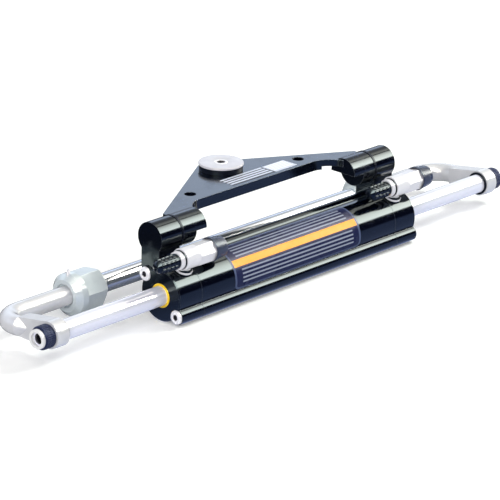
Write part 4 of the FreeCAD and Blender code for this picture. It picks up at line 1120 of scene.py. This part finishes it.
def make_tiller_washer():
    low, top, rim = 4.85, 7.25, 22.0
    shape = turned([
        (low, BOLT_HEAD_RADIUS + 0.05), (low, rim - 0.3),
        (low + 0.3, rim), (top - 0.6, rim),
        (top - 0.2, rim - 0.3), (top, rim - 0.9),
        (top, 7.9), (top - 0.5, BOLT_HEAD_RADIUS + 0.05),
    ], steps=144)
    moved(shape, TILLER_PLACE @ UPRIGHT)
    finish_piece("turned_tiller_washer", shape, washer_steel,
                 "tiller", ["tiller_washer"], bevel=0)


make_tiller_bolt()
make_tiller_washer()
print("tiller bolt with", round(THREAD_TURNS, 1), "turns of thread, and its washer")

# %% [markdown]
# The labels carry no print, only fields of colour and plain lines at even distances. A
# remainder of v repeats the line, and four limits keep the lines inside their field.

# %% Group: even lines
def between(tree, value, low, high):
    above = calculate(tree, "GREATER_THAN", value, low)
    return calculate(tree, "MULTIPLY", above, calculate(tree, "LESS_THAN", value, high))


def make_line_group():
    names = ("U", "V", "Left", "Right", "Low", "High", "Rows", "Gap")
    inputs = [(name, FLOAT, 0.5) for name in names]
    group, start, end = new_group("even_lines", inputs, [("Mask", FLOAT)])
    tall = calculate(group, "SUBTRACT", start["High"], start["Low"])
    run = calculate(group, "SUBTRACT", start["V"], start["Low"])
    share = calculate(group, "DIVIDE", run, tall)
    line = calculate(group, "MULTIPLY", share, start["Rows"])
    mask = calculate(group, "GREATER_THAN", calculate(group, "FRACT", line), start["Gap"])
    for axis, low, high in (("U", "Left", "Right"), ("V", "Low", "High")):
        inside = between(group, start[axis], start[low], start[high])
        mask = calculate(group, "MULTIPLY", mask, inside)
    feed(group, end["Mask"], mask)
    return group


line_group = make_line_group()
print("group:", line_group.name)

# %% [markdown]
# The tube's label has a navy ground with one stripe, a thin border and pale lines. The
# plate's label has lines beside a pale field. Each colour is a layer that a mask lays
# over the ones below, as a screen printer would.

# %% Label materials
NAVY = (0.010, 0.013, 0.050)
PLATE_INK = (0.010, 0.012, 0.022)
BORDER = (0.070, 0.092, 0.175)
ORANGE = (0.90, 0.34, 0.035)
PAPER = (0.88, 0.89, 0.92)
SILVER = (0.62, 0.65, 0.75)
PALE = (0.30, 0.33, 0.42)
STRIPE = (0.43, 0.57)
BORDER_WIDTH = 2.3
PALE_FROM = 0.66
LINE_VALUES = ("Left", "Right", "Low", "High", "Rows", "Gap")
TUBE_LINES = [
    (PALE, 0.06, 0.94, 0.080, 0.380, 4, 0.6),
    (PALE, 0.06, 0.94, 0.575, 0.875, 4, 0.6),
]
PLATE_LINES = [
    (SILVER, 0.00, 0.64, 0.02, 1.00, 4, 0.42),
    (PAPER, 0.68, 0.98, 0.12, 0.94, 5, 0.42),
]


def start_label(name):
    """Material and the sheet's u and v."""
    material = blank_material(name)
    sheet = add(material.node_tree, "ShaderNodeUVMap", uv_map="sheet").outputs[0]
    split = add(material.node_tree, "ShaderNodeSeparateXYZ", sheet).outputs
    return material, material.node_tree, split["X"], split["Y"]


def lay_lines(tree, ink, u, v, fields):
    for colour, *values in fields:
        lines = place_group(tree, line_group, U=u, V=v, **dict(zip(LINE_VALUES, values)))
        ink = mix_tones(tree, lines["Mask"], ink, colour)
    return ink


def end_label(tree, ink, roughness):
    surface = place_group(tree, grain_group, Roughness=roughness, Spread=0.08)
    relief = add(tree, "ShaderNodeBump", Strength=0.1, Distance=GRAIN_DEPTH,
                 Height=surface["Height"])
    end_material(tree, ink, surface["Roughness"], relief, Specular_IOR_Level=0.16)


def tube_label_material():
    material, tree, u, v = start_label("tube_label")
    rim = add(tree, "ShaderNodeAttribute", attribute_name="rim").outputs["Fac"]
    ink = mix_tones(tree, between(tree, v, *STRIPE), NAVY, ORANGE)
    ink = lay_lines(tree, ink, u, v, TUBE_LINES)
    ink = mix_tones(tree, calculate(tree, "LESS_THAN", rim, BORDER_WIDTH), ink, BORDER)
    end_label(tree, ink, 0.30)
    return material


def plate_label_material():
    material, tree, u, v = start_label("plate_label")
    ink = mix_tones(tree, calculate(tree, "GREATER_THAN", u, PALE_FROM), PLATE_INK, SILVER)
    end_label(tree, lay_lines(tree, ink, u, v, PLATE_LINES), 0.34)
    return material


tube_print = tube_label_material()
plate_print = plate_label_material()
print("labels:", tube_print.name, plate_print.name)

# %% [markdown]
# The tube's label is a thin sheet with round corners, bent round the tube. Each row of
# its grid is shortened near the corners, and the distance to the rim is stored on the
# points, so the outline follows the corners too.

# %% Labels
LABEL_MIDDLE = -3.8
LABEL_HALF = 88.3
LABEL_ANGLES = (82, 200)
LABEL_CORNER = 6.0
PLATE_LABEL_SIZES = (45.0, 9.5, 0.6)
PLATE_LABEL_PLACE = (17.0, -20.5, PLATE_TOP + 0.1)


def rim_distance(x, y, half_x, half_y, corner):
    """Distance from a point inside a rounded rectangle to its rim."""
    out_x = abs(x) - (half_x - corner)
    out_y = abs(y) - (half_y - corner)
    outside = math.hypot(max(out_x, 0), max(out_y, 0))
    return corner - outside - min(max(out_x, out_y), 0)


def rounded_sheet(half_x, half_y, corner, columns, rows):
    """Flat sheet with its u and v and the distance to its rim."""
    sheet = bmesh.new()
    uv = sheet.loops.layers.uv.new("sheet")
    rim = sheet.verts.layers.float.new("rim")
    grid = []
    for row in range(rows + 1):
        y = -half_y * math.cos(math.pi * row / rows)
        over = max(abs(y) - (half_y - corner), 0)
        reach = half_x - corner + math.sqrt(max(corner * corner - over * over, 0))
        line = []
        for column in range(columns + 1):
            x = -reach * math.cos(math.pi * column / columns)
            vert = sheet.verts.new((x, y, 0))
            vert[rim] = rim_distance(x, y, half_x, half_y, corner)
            line.append(vert)
        grid.append(line)
    for low, high in zip(grid, grid[1:]):
        for column in range(columns):
            corners = (low[column], low[column + 1], high[column + 1], high[column])
            face = sheet.faces.new(corners)
            for loop in face.loops:
                spot = loop.vert.co
                loop[uv].uv = (spot.x / (2 * half_x) + 0.5, spot.y / (2 * half_y) + 0.5)
    return sheet


def finish_label(name, sheet, material, body, thickness):
    """A label keeps its outer side where it was made and grows inwards."""
    piece = finish_piece(name, sheet, material, body, bevel=0)
    shell = piece.modifiers.new("thickness", "SOLIDIFY")
    shell.thickness = thickness * MM
    shell.offset = -1


def make_tube_label():
    first, last = (math.radians(angle) for angle in LABEL_ANGLES)
    radius = TUBE_RADIUS + 0.12
    half_arc = radius * (last - first) / 2
    sheet = rounded_sheet(LABEL_HALF, half_arc, LABEL_CORNER, 120, 48)
    for vert in sheet.verts:
        angle = (first + last) / 2 - vert.co.y / radius
        vert.co.y = radius * math.cos(angle)
        vert.co.z = radius * math.sin(angle)
    moved(sheet, Matrix.Translation(PISTON_AXIS + Vector((LABEL_MIDDLE, 0, 0))))
    finish_label("tube_label", sheet, tube_print, "barrel", 0.1)


def make_plate_label():
    sheet = rounded_sheet(*PLATE_LABEL_SIZES, 24, 10)
    moved(sheet, Matrix.Translation(PLATE_LABEL_PLACE))
    finish_label("plate_label", sheet, plate_print, "plate", 0.08)


make_tube_label()
make_plate_label()
print("labels: 2")
